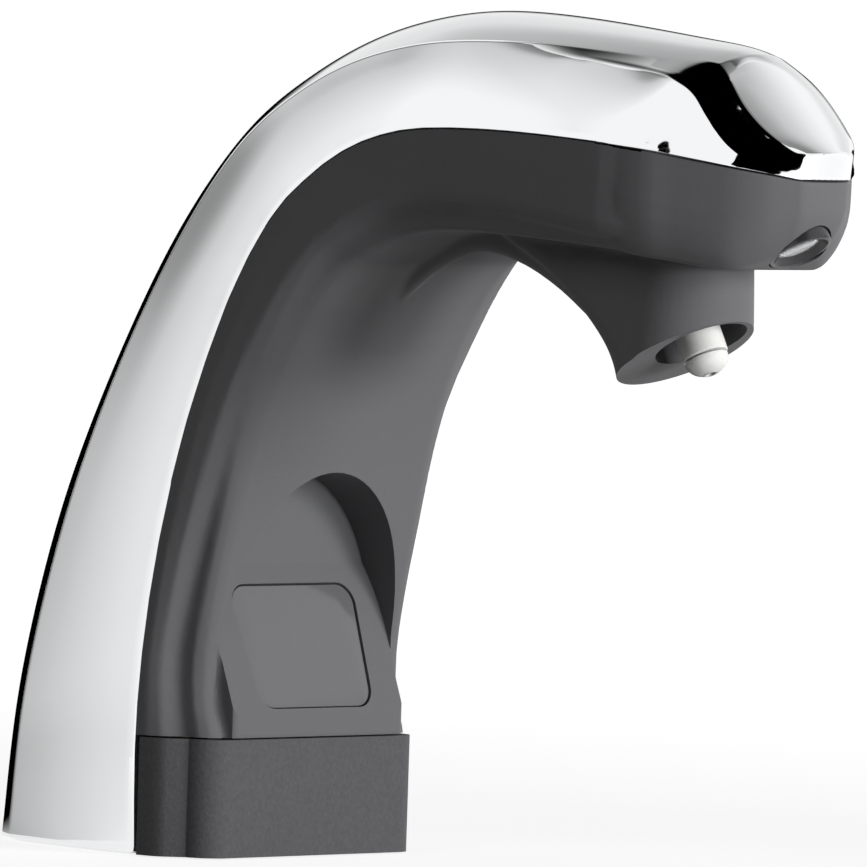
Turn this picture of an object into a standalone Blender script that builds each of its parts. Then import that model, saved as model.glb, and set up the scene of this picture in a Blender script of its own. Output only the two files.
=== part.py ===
"""Deck-mounted automatic soap dispenser spout, modelled as separate pieces.

Metres, +Z up. The origin is on the deck, on the axis of the mounting shank, and the
spout points along +X. The object is symmetric about the XZ plane.
"""
import math

import bmesh
import bpy
from mathutils import Matrix, Vector

# Overall size
HEIGHT = 0.140
REACH = 0.140
HALF_WIDTH = 0.029
BASE_DEPTH = 0.0613
BASE_FRONT_SHARE = 0.514

# General walls and gaps
CLEARANCE = 0.0003
MERGE_DISTANCE = 0.000005
SHARP_ANGLE = math.radians(35.0)
STRAIGHT_ANGLE = math.radians(0.5)
CREASE_ANGLE = math.radians(14.0)
FORM_ANGLE = math.radians(28.0)
OVERRUN = 0.002
SHELL_WALL = 0.0018
BODY_WALL = 0.0024
COLLAR_HEIGHT = 0.0193

# Base collar
FRONT_REACH = BASE_DEPTH * BASE_FRONT_SHARE
REAR_REACH = BASE_DEPTH - FRONT_REACH
FRONT_SIDE_STEP = 0.0035
FRONT_HALF_WIDTH = HALF_WIDTH - FRONT_SIDE_STEP
FRONT_CORNER = 0.0045
STRIP_DEPTH = 0.0078
FLOOR_THICKNESS = 0.006
COLLAR_FRONT_WALL = 0.0032
HUB_HEIGHT = 0.0145
POST_RADIUS = 0.0042
POST_SETBACK = 0.0067
POST_SIDE_MARGIN = 0.0077
POST_X = FRONT_REACH - POST_SETBACK
POST_Y = FRONT_HALF_WIDTH - POST_SIDE_MARGIN

# Threaded insert for the shank, and the deck gasket
INSERT_RADIUS = 0.0135
HUB_WALL = 0.0019
HUB_RADIUS = INSERT_RADIUS + HUB_WALL
INSERT_BORE_RADIUS = 0.0105
INSERT_HEIGHT = 0.0105
INSERT_SHOULDER_HEIGHT = 0.003
INSERT_SHOULDER_RADIUS = 0.0118
GASKET_OUTER_RADIUS = 0.0160
GASKET_INNER_RADIUS = 0.0130
GASKET_THICKNESS = 0.0016

# Shell bosses
SHELL_BOSS_ANGLE = math.radians(52.0)
SHELL_BOSS_RADIUS = 0.0036
SHELL_BOSS_HEIGHT = 0.0220
SHELL_BOSS_STATION_SHARE = 0.5
FLOOR_GAP = 0.0012
SHELL_BOSS_TOP = FLOOR_THICKNESS + SHELL_BOSS_HEIGHT

# Screws
SCREW_RADIUS = 0.0015
SCREW_HEAD_RADIUS = 0.0027
SCREW_HEAD_HEIGHT = 0.0022
BODY_SCREW_GRIP = 0.0107
BODY_SCREW_END = COLLAR_HEIGHT + BODY_SCREW_GRIP
SHELL_SCREW_GRIP = 0.0120
SHELL_SCREW_END = FLOOR_THICKNESS + SHELL_SCREW_GRIP
SCREW_HEAD_RECESS = 0.0012
SMALL_SCREW_RADIUS = 0.0011
SMALL_SCREW_HEAD_RADIUS = 0.0021
SMALL_SCREW_HEAD_HEIGHT = 0.0015
DRIVE_RADIUS = 0.0012
SMALL_DRIVE_RADIUS = 0.0009
DRIVE_DEPTH = 0.0011

# Body profile: depths measured from the parting line towards the hand side
BLOCK_DEPTH = 0.0150
FLANGE_HEIGHT = 0.0040
CAVITY_INSET = 0.0063
FLANGE_THICKNESS = 0.0020
STRIP_INSET = 0.0040
FACE_INSET = 0.0055
FACE_ROUNDING = 0.0015

# Niche and slanted sensor panel in the lower front
NICHE_SIDE_MARGIN = 0.0047
NICHE_HALF_WIDTH = FRONT_HALF_WIDTH - NICHE_SIDE_MARGIN
NICHE_TOP = 0.0630
NICHE_ARCH_RISE = 0.0270
NICHE_SPRING = NICHE_TOP - NICHE_ARCH_RISE
NICHE_DEPTH = 0.0083
NICHE_BACK_X = FRONT_REACH - NICHE_DEPTH
PANEL_LEAD = 0.0015
PANEL_RISE = 0.0012
PANEL_LOW_X = FRONT_REACH + PANEL_LEAD
PANEL_LOW_Z = COLLAR_HEIGHT + PANEL_RISE
APRON_LEAD = 0.0004
APRON_FRONT_X = FRONT_REACH + APRON_LEAD
PANEL_TILT = math.radians(20.0)
APRON_HALF_WIDTH = NICHE_HALF_WIDTH - CLEARANCE

# Sensor window
WINDOW_RISE = 0.0150
WINDOW_CENTRE_Z = COLLAR_HEIGHT + WINDOW_RISE
WINDOW_SIDE_MARGIN = 0.0062
WINDOW_HALF_WIDTH = NICHE_HALF_WIDTH - WINDOW_SIDE_MARGIN
WINDOW_HEIGHT = 0.0208
WINDOW_CORNER = 0.0034
WINDOW_THICKNESS = 0.0016
WINDOW_TAPER = 0.0010
SEAL_WIDTH = 0.0016
SEAL_THICKNESS = 0.0006
LEDGE_WIDTH = 0.0028

# Sensor board and its holder
NICHE_WALL = 0.0020
CAVITY_FRONT_X = NICHE_BACK_X - NICHE_WALL
HOLDER_SIDE_MARGIN = 0.0032
HOLDER_HALF_WIDTH = WINDOW_HALF_WIDTH + HOLDER_SIDE_MARGIN
HOLDER_HEIGHT = 0.0180
HOLDER_THICKNESS = 0.0024
HOLDER_DROP = 0.0038
HOLDER_CENTRE_Z = WINDOW_CENTRE_Z - HOLDER_DROP
SENSOR_SCREW_MARGIN = 0.0023
SENSOR_SCREW_Y = HOLDER_HALF_WIDTH - SENSOR_SCREW_MARGIN
SENSOR_SCREW_RISE = 0.0060
SENSOR_SCREW_Z = HOLDER_CENTRE_Z + SENSOR_SCREW_RISE
BOARD_SIDE_MARGIN = 0.0033
BOARD_HALF_WIDTH = SENSOR_SCREW_Y - BOARD_SIDE_MARGIN
BOARD_HEIGHT = 0.0150
BOARD_THICKNESS = 0.0014
DIODE_RADIUS = 0.0025
DIODE_LENGTH = 0.0062
DIODE_SPACING = 0.0065
SENSOR_SCREW_LENGTH = 0.0048
SOCKET_SIZE = (0.004, 0.008, 0.005)

# Nozzle axis and head
NOZZLE_SETBACK = 0.0278
NOZZLE_X = REACH - NOZZLE_SETBACK
NOZZLE_TILT = math.radians(27.0)
HEAD_DROP = 0.0400
HEAD_LOW_Z = HEIGHT - HEAD_DROP
NOZZLE_DROP = 0.0125
NOZZLE_Z = HEAD_LOW_Z - NOZZLE_DROP
HEAD_START_LAG = 0.0042
HEAD_START_X = NOZZLE_X - HEAD_START_LAG
HEAD_STEP = 0.0006
HEAD_RIM_DROP = 0.0034
HEAD_RIM_INSET = 0.0026
HEAD_LEVEL_LEAD = 0.0068
HEAD_LEVEL_X = NOZZLE_X + HEAD_LEVEL_LEAD
HEAD_SETBACK = 0.0018
HEAD_FRONT_X = REACH - HEAD_SETBACK
HEAD_FRONT_RISE = 0.0060
HEAD_INSET = 0.0004
HEAD_FLOOR_THICKNESS = 0.0082
HEAD_POCKET_FLOOR_Z = HEAD_LOW_Z + HEAD_FLOOR_THICKNESS
HEAD_POCKET_WALL = 0.0021
HEAD_POCKET_SIDE_MARGIN = 0.0149
HEAD_POCKET_HALF_WIDTH = HALF_WIDTH - HEAD_POCKET_SIDE_MARGIN

# Boss under the head and its opening
BOSS_FRONT_LEAD = 0.0076
BOSS_FRONT_X = NOZZLE_X + BOSS_FRONT_LEAD
BOSS_HALF_WIDTH = 0.0114
BOSS_REAR_LAG = 0.0144
BOSS_REAR_X = NOZZLE_X - BOSS_REAR_LAG
BOSS_ROOT = 0.0065
BOSS_TOP_Z = HEAD_LOW_Z + BOSS_ROOT
BOSS_TIP_DROP = 0.0115
BOSS_LOW_Z = NOZZLE_Z - BOSS_TIP_DROP
BOSS_TOP_LAG = 0.0422
BOSS_TOP_REAR_X = NOZZLE_X - BOSS_TOP_LAG
BOSS_BORE_RADIUS = 0.0074
BOSS_MOUTH_RADIUS = 0.0078
MOUTH_DEPTH = 0.0008
BOSS_BORE_DEPTH = 0.0165

# Nozzle, its holder, seal and valve: distances along the nozzle axis from the opening
HOLDER_RADIUS = 0.0071
NOZZLE_HOLDER_TOP = -0.0162
NOZZLE_HOLDER_LOW = -0.0082
SPIGOT_TOP = -0.0235
SPIGOT_RADIUS = 0.0019
SPIGOT_BORE_RADIUS = 0.0011
NOZZLE_RADIUS = 0.0038
SLEEVE_TOP = -0.0148
SLEEVE_LOW = 0.0023
SLEEVE_BORE_RADIUS = 0.0015
CHAMBER_RADIUS = 0.0025
SEAT_TOP = -0.0080
TIP_RADIUS = 0.0036
TIP_LENGTH = 0.0027
TIP_SPIGOT_TOP = -0.0005
TIP_SPIGOT_RADIUS = 0.0021
OUTLET_RADIUS = 0.0010
BALL_RADIUS = 0.0020
BALL_CENTRE = -0.00635
SPRING_WIRE_RADIUS = 0.0002
SPRING_RADIUS = 0.0016
SPRING_TURNS = 4
SPRING_TOP = -0.0040
ORING_RADIUS = 0.0006
ORING_PLACE = -0.0115
ORING_CENTRE_RADIUS = 0.00485
GROOVE_RADIUS = 0.0058
GROOVE_HALF_WIDTH = 0.0010
RETAINER_RADIUS = 0.0079
RETAINER_INNER_RADIUS = 0.0061
RETAINER_THICKNESS = 0.0010
RETAINER_GAP = 0.0040
PASSAGE_RADIUS = 0.0048

# Indicator lens under the head
LENS_SETBACK = 0.0054
LENS_CENTRE_X = HEAD_FRONT_X - LENS_SETBACK
LENS_TILT = math.radians(29.0)
LENS_LENGTH = 0.0076
LENS_WIDTH = 0.0066
LENS_HEIGHT = 0.0020
BEZEL_LENGTH = 0.0110
BEZEL_WIDTH = 0.0100
BEZEL_HEIGHT = 0.0026
LED_RADIUS = 0.0015
LED_LENGTH = 0.0013
LED_BOARD_LENGTH = 0.0170
LED_BOARD_WIDTH = 0.0100
LED_BOARD_THICKNESS = 0.0012
LED_SCREW_LENGTH = 0.0042
LED_SCREW_LAG = 0.0125
LED_SCREW_X = LENS_CENTRE_X - LED_SCREW_LAG
LED_SCREW_Y = 0.0037

# Tube and cables
TUBE_RADIUS = 0.0032
TUBE_BORE_RADIUS = 0.0022
TUBE_END = -0.0168
TUBE_LEAD = 0.0031
CABLE_RADIUS = 0.0011
PLUG_SIZE = (0.006, 0.0085, 0.010)
PLUG_LAG = 0.0095
PLUG_RISE = 0.0055
PLUG_PLACE = (-PLUG_LAG, 0.0, HUB_HEIGHT + PLUG_RISE)

# Side-view stations from the deck to the nose. Each row gives the parting line, the
# crease and the crown as (x, z), then the half widths at the parting line and the crease.
# The rows up to the niche's top are shares of BASE_DEPTH and NICHE_TOP, the others of
# REACH and HEIGHT. The half widths are shares of HALF_WIDTH.
STATION_SHARES = (
    (0.295, 0.000, -0.272, 0.000, -0.486, 0.000, 1.000, 0.759),
    (0.285, 0.269, -0.251, 0.280, -0.454, 0.289, 0.997, 0.759),
    (0.297, 0.524, -0.201, 0.536, -0.400, 0.564, 0.990, 0.759),
    (0.343, 0.818, -0.091, 0.889, -0.283, 0.931, 0.983, 0.759),
    (0.186, 0.510, 0.027, 0.560, -0.044, 0.585, 0.966, 0.741),
    (0.240, 0.651, 0.109, 0.711, 0.047, 0.743, 0.941, 0.710),
    (0.296, 0.746, 0.196, 0.827, 0.153, 0.863, 0.917, 0.686),
    (0.345, 0.794, 0.273, 0.887, 0.243, 0.924, 0.897, 0.666),
    (0.400, 0.830, 0.352, 0.928, 0.332, 0.968, 0.879, 0.641),
    (0.457, 0.851, 0.430, 0.951, 0.419, 0.991, 0.866, 0.610),
    (0.518, 0.861, 0.507, 0.962, 0.504, 0.999, 0.852, 0.579),
    (0.607, 0.863, 0.607, 0.964, 0.607, 0.994, 0.834, 0.517),
    (0.694, 0.860, 0.700, 0.959, 0.701, 0.985, 0.810, 0.448),
    (0.781, 0.854, 0.790, 0.952, 0.791, 0.975, 0.779, 0.372),
    (0.832, 0.849, 0.836, 0.950, 0.843, 0.969, 0.734, 0.324),
    (0.871, 0.843, 0.869, 0.947, 0.882, 0.961, 0.686, 0.297),
    (0.907, 0.837, 0.897, 0.926, 0.918, 0.945, 0.617, 0.345),
    (0.936, 0.831, 0.921, 0.901, 0.947, 0.923, 0.503, 0.372),
    (0.957, 0.826, 0.947, 0.876, 0.974, 0.896, 0.379, 0.355),
    (0.971, 0.822, 0.967, 0.860, 0.991, 0.873, 0.286, 0.310),
    (0.980, 0.819, 0.981, 0.846, 1.000, 0.850, 0.217, 0.234),
)
BASE_STATIONS = 4
NOSE_STATION = 13
# Stations at which the body and its cavity have their sections
BODY_STATION_SHARES = (1.0, 1.16, 1.33, 1.5, 1.75, 2.0, 2.5, 3.0, 3.5, 4.0, 4.5, 5.0, 5.5, 6.0, 6.5,
                       7.0, 7.5, 8.0, 8.5, 9.0, 9.5, 10.0, 10.5, 11.0, 11.5, 12.0, 12.5, 13.0, 13.5, 14.0)
CAVITY_STATION_SHARES = (0.9, 1.4, 1.9, 2.6, 2.9, 3.4, 3.65, 3.9, 4.3, 5.1, 6.1, 7.1, 8.1, 9.1, 10.1,
                         11.1, 12.1, 12.9)
# Body section: how far the strip, its edge and the wall go, as shares of the strip's depth,
# of STRIP_INSET, and of the way from the strip's end to the face
STRIP_TOP_SHARE = 0.35
STRIP_LOW_SHARE = 0.70
STRIP_EDGE_SHARE = 0.25
WALL_INSET_SHARE = 1.05
WALL_DEPTH_SHARE = 0.60
FACE_EDGE_SHARE = 0.25
CAVITY_MOUTH_SHARE = 0.15

# Depths of the strip's end and of the hand-side face at stations, as shares of BLOCK_DEPTH
STRIP_SHARES = ((1.0, 0.533), (1.5, 0.42), (2.0, 0.355), (2.7, 0.413), (3.7, 0.50), (4.35, 0.533),
                (5.0, 0.633), (7.0, 0.733), (9.0, 0.767), (11.0, 0.833), (13.0, 0.98), (14.0, 1.0))
FACE_SHARES = ((1.0, 0.86), (1.16, 0.84), (1.5, 0.713), (2.0, 0.653), (2.7, 0.667), (3.35, 0.687),
               (3.7, 0.667), (4.35, 0.667), (5.0, 0.733), (7.0, 0.967), (9.0, 1.067), (11.0, 1.133),
               (13.0, 1.160), (14.0, 1.150))
# Depth of the inner cavity at stations, as shares of BLOCK_DEPTH
CAVITY_SHARES = ((1.0, 0.20), (2.0, 0.16), (2.7, 0.05), (3.0, 0.0), (3.45, -0.12), (3.7, -0.05),
                 (4.0, 0.33), (4.35, 0.45), (5.0, 0.54), (6.0, 0.62), (7.0, 0.70), (9.0, 0.78),
                 (11.0, 0.77), (14.0, 0.76))
# Height and inset of the head's wall, from the parting plane down, as shares of its
# depth and of BLOCK_DEPTH
HEAD_WALL_SHARES = ((0.0, 0.0), (0.50, 0.004), (0.72, 0.03), (0.86, 0.09), (0.95, 0.17), (1.0, 0.28))
# Underside of the head: places as shares of REACH, heights above HEAD_LOW_Z as shares of
# HEAD_FRONT_RISE
HEAD_FLOOR_SHARES = ((0.760, 0.40), (0.832, 0.18), (0.884, 0.0), (0.911, 0.0), (0.936, 0.27),
                     (0.961, 0.60), (0.990, 1.0))
# Boss under the head: height as a share from the opening to the top, rear end as a share
# from BOSS_REAR_X to BOSS_TOP_REAR_X, half width as a share of BOSS_HALF_WIDTH
BOSS_SHARES = ((0.00, 0.0, 1.0), (0.18, 0.0, 1.0), (0.37, 0.11, 0.98), (0.61, 0.39, 0.93),
               (0.77, 0.66, 0.88), (0.87, 0.88, 0.82), (1.00, 1.15, 0.76))
# Ridge that runs from the boss up into the arch: keel place as shares of REACH and
# HEIGHT, radius as a share of BOSS_HALF_WIDTH
RIDGE_SHARES = ((0.268, 0.600, 0.20), (0.322, 0.664, 0.36), (0.389, 0.708, 0.50),
                (0.460, 0.725, 0.62), (0.530, 0.716, 0.72), (0.600, 0.676, 0.82))

# Centre line of the tube: stations, and how far it lies from the parting line to the crown
TUBE_PLACE_SHARES = ((1.28, 0.39), (2.40, 0.45), (3.23, 0.51), (4.04, 0.56), (4.80, 0.55), (5.67,
                     0.51), (6.89, 0.44), (8.32, 0.32), (9.90, 0.23), (10.85, 0.18), (11.53, 0.02))
# Centre lines of the cables, hand-placed points in metres
SENSOR_CABLE_ROUTE = ((0.0121, 0.0075, 0.0290), (0.0080, 0.0078, 0.0290), (0.0030, 0.0082, 0.0315),
                      (-0.0040, 0.0075, 0.0345), (-0.0085, 0.0045, 0.0350), (-0.0095, 0.0024, 0.0335),
                      (-0.0095, 0.0022, 0.0304))
LED_CABLE_END = ((-0.0040, 0.0075, 0.0430), (-0.0092, -0.0005, 0.0385), (-0.0096, -0.0022, 0.0345),
                 (-0.0095, -0.0022, 0.0304))
# Head end of the indicator's cable, from the light, as shares of LED_BOARD_LENGTH
LED_CABLE_START_SHARES = ((-0.43, 0.0, 0.177), (-0.753, 0.0, 0.194), (-1.047, 0.206, 0.40),
                          (-1.341, 0.412, 0.606))
# The rest of it: stations, how far it lies from the parting line to the crown, and its
# sideways place as a share of HALF_WIDTH
LED_CABLE_PLACE_SHARES = ((12.53, 0.031, 0.29), (11.41, 0.043, 0.31), (9.96, 0.036, 0.31),
                          (8.16, 0.139, 0.31), (6.86, 0.286, 0.31), (5.55, 0.386, 0.31),
                          (4.65, 0.443, 0.31), (3.87, 0.463, 0.31), (3.06, 0.454, 0.29))

NOZZLE_AXIS = Vector((math.sin(NOZZLE_TILT), 0.0, -math.cos(NOZZLE_TILT)))
NOZZLE_ORIGIN = Vector((NOZZLE_X, 0.0, NOZZLE_Z))

for old in list(bpy.data.objects):
    bpy.data.objects.remove(old)

PARTS = bpy.data.collections.new("automatic_soap_dispenser")
CUTTERS = bpy.data.collections.new("cutters")
bpy.context.scene.collection.children.link(PARTS)
bpy.context.scene.collection.children.link(CUTTERS)


def finish(name, colour, roughness, metallic):
    """Principled material with one colour."""
    found = bpy.data.materials.get(name)
    if found:
        return found
    made = bpy.data.materials.new(name)
    made.use_nodes = True
    shader = made.node_tree.nodes["Principled BSDF"]
    shader.inputs["Base Color"].default_value = (*colour, 1.0)
    shader.inputs["Roughness"].default_value = roughness
    shader.inputs["Metallic"].default_value = metallic
    return made


def chrome():
    return finish("polished_chrome", (0.80, 0.80, 0.81), 0.05, 1.0)


def black_plastic():
    return finish("black_moulded_plastic", (0.025, 0.025, 0.027), 0.42, 0.0)


def black_coat():
    return finish("black_textured_coating", (0.022, 0.022, 0.024), 0.62, 0.0)


def dark_window():
    return finish("dark_infrared_window", (0.06, 0.06, 0.065), 0.15, 0.0)


def rubber():
    return finish("black_rubber", (0.015, 0.015, 0.015), 0.8, 0.0)


def brass():
    return finish("brass", (0.75, 0.56, 0.25), 0.3, 1.0)


def steel():
    return finish("zinc_plated_steel", (0.62, 0.62, 0.62), 0.3, 1.0)


def circuit_board():
    return finish("green_circuit_board", (0.02, 0.16, 0.06), 0.5, 0.0)


def white_plastic():
    return finish("white_acetal", (0.82, 0.82, 0.80), 0.4, 0.0)


def clear_plastic():
    return finish("clear_polycarbonate", (0.80, 0.82, 0.85), 0.08, 0.0)


def tube_plastic():
    return finish("translucent_tube", (0.75, 0.76, 0.72), 0.35, 0.0)


def cable_jacket():
    return finish("cable_jacket", (0.03, 0.03, 0.03), 0.5, 0.0)


def add_object(name, mesh, material=None):
    """Link a mesh as a part, or as a cutter where it has no material."""
    made = bpy.data.objects.new(name, mesh)
    if material:
        mesh.materials.append(material)
        PARTS.objects.link(made)
    else:
        CUTTERS.objects.link(made)
        made.hide_render = True
        made.display_type = "WIRE"
    return made


def mesh_from(shape, name):
    """Turn a bmesh into a mesh with its faces pointing out."""
    bmesh.ops.recalc_face_normals(shape, faces=shape.faces)
    mesh = bpy.data.meshes.new(name)
    shape.to_mesh(mesh)
    shape.free()
    return mesh


def soften(made, angle=SHARP_ANGLE):
    """Shade smooth with sharp edges where faces meet at more than the angle."""
    made.data.shade_smooth()
    made.data.set_sharp_from_angle(angle=angle)


def boolean(target, other, operation):
    """Add an exact Boolean modifier."""
    step = target.modifiers.new(operation.lower(), "BOOLEAN")
    step.operation = operation
    step.solver = "EXACT"
    step.object = other


def cut(target, *others):
    for other in others:
        boolean(target, other, "DIFFERENCE")


def join(target, *others):
    for other in others:
        boolean(target, other, "UNION")


def axis_matrix(origin, direction):
    """Matrix whose local +Z runs along the direction, with local X kept off the Y axis."""
    turn = Vector(direction).normalized().to_track_quat("Z", "Y")
    return Matrix.Translation(Vector(origin)) @ turn.to_matrix().to_4x4()


def cylinder(name, start, end, radius, material=None, end_radius=None, sides=32):
    """Cylinder or cone between two points."""
    start = Vector(start)
    end = Vector(end)
    shape = bmesh.new()
    bmesh.ops.create_cone(shape, cap_ends=True, segments=sides, radius1=radius,
                          radius2=radius if end_radius is None else end_radius,
                          depth=(end - start).length)
    bmesh.ops.transform(shape, matrix=axis_matrix((start + end) / 2, end - start), verts=shape.verts)
    made = add_object(name, mesh_from(shape, name), material)
    soften(made)
    return made


def round_edges(made, width):
    """Bevel the sharp edges of a piece."""
    step = made.modifiers.new("edges", "BEVEL")
    step.width = width
    step.segments = 2
    step.limit_method = "ANGLE"
    step.angle_limit = SHARP_ANGLE


def box(name, low, high, material=None, bevel=0.0):
    """Box between two corners, with its edges rounded where a bevel is given."""
    shape = bmesh.new()
    bmesh.ops.create_cube(shape, size=1.0)
    centre = (Vector(low) + Vector(high)) / 2
    size = Vector(high) - Vector(low)
    bmesh.ops.scale(shape, vec=size, verts=shape.verts)
    bmesh.ops.translate(shape, vec=centre, verts=shape.verts)
    made = add_object(name, mesh_from(shape, name), material)
    if bevel:
        round_edges(made, bevel)
    return made


def loft(name, rings, material=None, strips=False):
    """Closed solid through rings with equal counts of points. Uneven ends are capped with
    strips across them."""
    shape = bmesh.new()
    rows = [[shape.verts.new(point) for point in ring] for ring in rings]
    count = len(rows[0])
    for lower, upper in zip(rows, rows[1:]):
        for step in range(count):
            after = (step + 1) % count
            shape.faces.new((lower[step], lower[after], upper[after], upper[step]))
    for row in (rows[0], rows[-1]):
        if not strips:
            bmesh.ops.triangulate(shape, faces=[shape.faces.new(row)])
        for step in range((count - 1) // 2 if strips else 0):
            corners = (row[step], row[step + 1], row[count - 2 - step], row[count - 1 - step])
            shape.faces.new(tuple(dict.fromkeys(corners)))
    return add_object(name, mesh_from(shape, name), material)


def turned(name, profile, material=None, origin=NOZZLE_ORIGIN, direction=NOZZLE_AXIS, sides=32):
    """Profile of (radius, distance along the axis) points, turned by a Screw modifier. A
    profile that starts and ends on the axis stays open there."""
    area = 0.0
    for index, (radius, along) in enumerate(profile):
        after_radius, after_along = profile[(index + 1) % len(profile)]
        area += radius * after_along - after_radius * along
    points = list(profile) if area < 0 else list(reversed(profile))
    closed = all(radius for radius, _ in points)
    while not closed and (points[0][0] or points[-1][0]):
        points.append(points.pop(0))
    mesh = bpy.data.meshes.new(name)
    edges = [(index, index + 1) for index in range(len(points) - 1)]
    if closed:
        edges.append((len(points) - 1, 0))
    mesh.from_pydata([(radius, 0.0, along) for radius, along in points], edges, [])
    made = add_object(name, mesh, material)
    made.matrix_world = axis_matrix(origin, direction)
    turn = made.modifiers.new("turn", "SCREW")
    turn.steps = sides
    turn.render_steps = sides
    turn.use_merge_vertices = True
    turn.merge_threshold = MERGE_DISTANCE
    turn.use_smooth_shade = True
    return made


def evaluated_mesh(made, name):
    """Mesh of an object as its modifiers and curve settings leave it, with caps welded."""
    bpy.context.view_layer.update()
    graph = bpy.context.evaluated_depsgraph_get()
    mesh = bpy.data.meshes.new_from_object(made.evaluated_get(graph))
    shape = bmesh.new()
    shape.from_mesh(mesh)
    bpy.data.meshes.remove(mesh)
    bmesh.ops.remove_doubles(shape, verts=shape.verts, dist=MERGE_DISTANCE)
    mesh = mesh_from(shape, name)
    mesh.materials.clear()
    return mesh


def curve_object(name, points, closed):
    """Curve object with one straight-sided spline."""
    curve = bpy.data.curves.new(name, "CURVE")
    spline = curve.splines.new("POLY")
    spline.points.add(len(points) - 1)
    for slot, point in zip(spline.points, points):
        slot.co = (*point, 1.0)
    spline.use_cyclic_u = closed
    holder = bpy.data.objects.new(name + "_curve", curve)
    PARTS.objects.link(holder)
    return holder, curve


def without_straight_points(outline):
    """Outline without the points that lie on a straight line between their neighbours."""
    kept = []
    for index, point in enumerate(outline):
        before = Vector(point) - Vector(outline[index - 1])
        after = Vector(outline[(index + 1) % len(outline)]) - Vector(point)
        if before.angle(after, 0.0) > STRAIGHT_ANGLE:
            kept.append(point)
    return kept


def prism(name, outline, matrix, low, high, material=None, bevel=0.0):
    """Outline of (x, y) points extruded along the matrix's local Z from low to high."""
    corners = [(x, y, 0.0) for x, y in without_straight_points(outline)]
    holder, curve = curve_object(name, corners, True)
    curve.dimensions = "2D"
    curve.fill_mode = "BOTH"
    curve.extrude = (high - low) / 2
    mesh = evaluated_mesh(holder, name)
    bpy.data.objects.remove(holder)
    mesh.transform(matrix @ Matrix.Translation((0.0, 0.0, (low + high) / 2)))
    if matrix.determinant() < 0:
        mesh.flip_normals()
    made = add_object(name, mesh, material)
    if bevel:
        round_edges(made, bevel)
    soften(made)
    return made


def ease(table, place, column=1):
    """Catmull-Rom value of a column of a table whose first column rises."""
    last = len(table) - 1
    index = 0
    while index < last - 1 and table[index + 1][0] <= place:
        index += 1
    before = table[max(index - 1, 0)]
    start = table[index]
    end = table[index + 1]
    after = table[min(index + 2, last)]
    span = end[0] - start[0]
    part = min(max((place - start[0]) / span, 0.0), 1.0)
    slope_start = (end[column] - before[column]) / (end[0] - before[0]) * span
    slope_end = (after[column] - start[column]) / (after[0] - start[0]) * span
    square = part * part
    cube = square * part
    return ((2 * cube - 3 * square + 1) * start[column] + (cube - 2 * square + part) * slope_start
            + (3 * square - 2 * cube) * end[column] + (cube - square) * slope_end)


def station_rows():
    """Station table in metres, each row led by its number."""
    rows = []
    for index, row in enumerate(STATION_SHARES):
        length = BASE_DEPTH if index < BASE_STATIONS else REACH
        height = NICHE_TOP if index < BASE_STATIONS else HEIGHT
        sizes = (length, height, length, height, length, height, HALF_WIDTH, HALF_WIDTH)
        rows.append((index, *(share * size for share, size in zip(row, sizes))))
    return tuple(rows)


STATION_TABLE = station_rows()
HEAD_FLOOR_TABLE = tuple((place * REACH, HEAD_LOW_Z + rise * HEAD_FRONT_RISE)
                         for place, rise in HEAD_FLOOR_SHARES)


def station(place):
    """Side-view points and half widths at a station number, in metres."""
    values = [ease(STATION_TABLE, place, column) for column in range(1, 9)]
    parting = Vector((values[0], 0.0, values[1]))
    crease = Vector((values[2], 0.0, values[3]))
    crown = Vector((values[4], 0.0, values[5]))
    return parting, crease, crown, values[6], values[7]


def inward(place):
    """Unit vector from the crease through the parting line, at a station."""
    parting, crease = station(place)[:2]
    return (parting - crease).normalized()


def side_wall(place):
    """Lean of the shell's side, and how far its inner face lies in from the outer edge."""
    parting, crease, _, half, high_half = station(place)
    lean = (half - high_half) / (parting - crease).length
    return lean, (SHELL_WALL + CLEARANCE) * math.sqrt(1 + lean * lean)


def crown_arc(crease, crown, half_width, steps):
    """Points from the crease at -Y to the crease at +Y over the crown, on an arc."""
    rise = (crown - crease).length
    direction = (crown - crease).normalized()
    radius = (half_width ** 2 + rise ** 2) / (2 * rise)
    sweep = math.asin(min(half_width / radius, 1.0))
    points = []
    for step in range(steps + 1):
        angle = -sweep + 2 * sweep * step / steps
        lift = radius * math.cos(angle) - (radius - rise)
        points.append(crease + direction * lift + Vector((0.0, radius * math.sin(angle), 0.0)))
    return points


SHELL_SIDE_STEPS = 2
SHELL_CROWN_STEPS = 10
SHELL_STATIONS = tuple(step * 0.5 for step in range(NOSE_STATION * 2)) + tuple(
    NOSE_STATION + step for step in range(len(STATION_SHARES) - NOSE_STATION))


def shell_row(place):
    """One row of the shell's outer surface, from parting line to parting line."""
    parting, crease, crown, low_half, high_half = station(place)
    low = parting - Vector((0.0, low_half, 0.0))
    high = crease - Vector((0.0, high_half, 0.0))
    side = [low.lerp(high, step / SHELL_SIDE_STEPS) for step in range(SHELL_SIDE_STEPS)]
    mirrored = [Vector((point.x, -point.y, point.z)) for point in reversed(side)]
    return side + crown_arc(crease, crown, high_half, SHELL_CROWN_STEPS) + mirrored


def shell_boss_spot(side):
    """Place in plan of a screw boss inside the shell, its screw clear of the floor's edge."""
    _, crease, crown, _, half = station(SHELL_BOSS_STATION_SHARE)
    rise = crease.x - crown.x
    radius = (half ** 2 + rise ** 2) / (2 * rise)
    reach = radius - SHELL_WALL - FLOOR_GAP - SCREW_HEAD_RADIUS - CLEARANCE * 2
    return (crown.x + radius - reach * math.cos(SHELL_BOSS_ANGLE),
            side * reach * math.sin(SHELL_BOSS_ANGLE))


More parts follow.
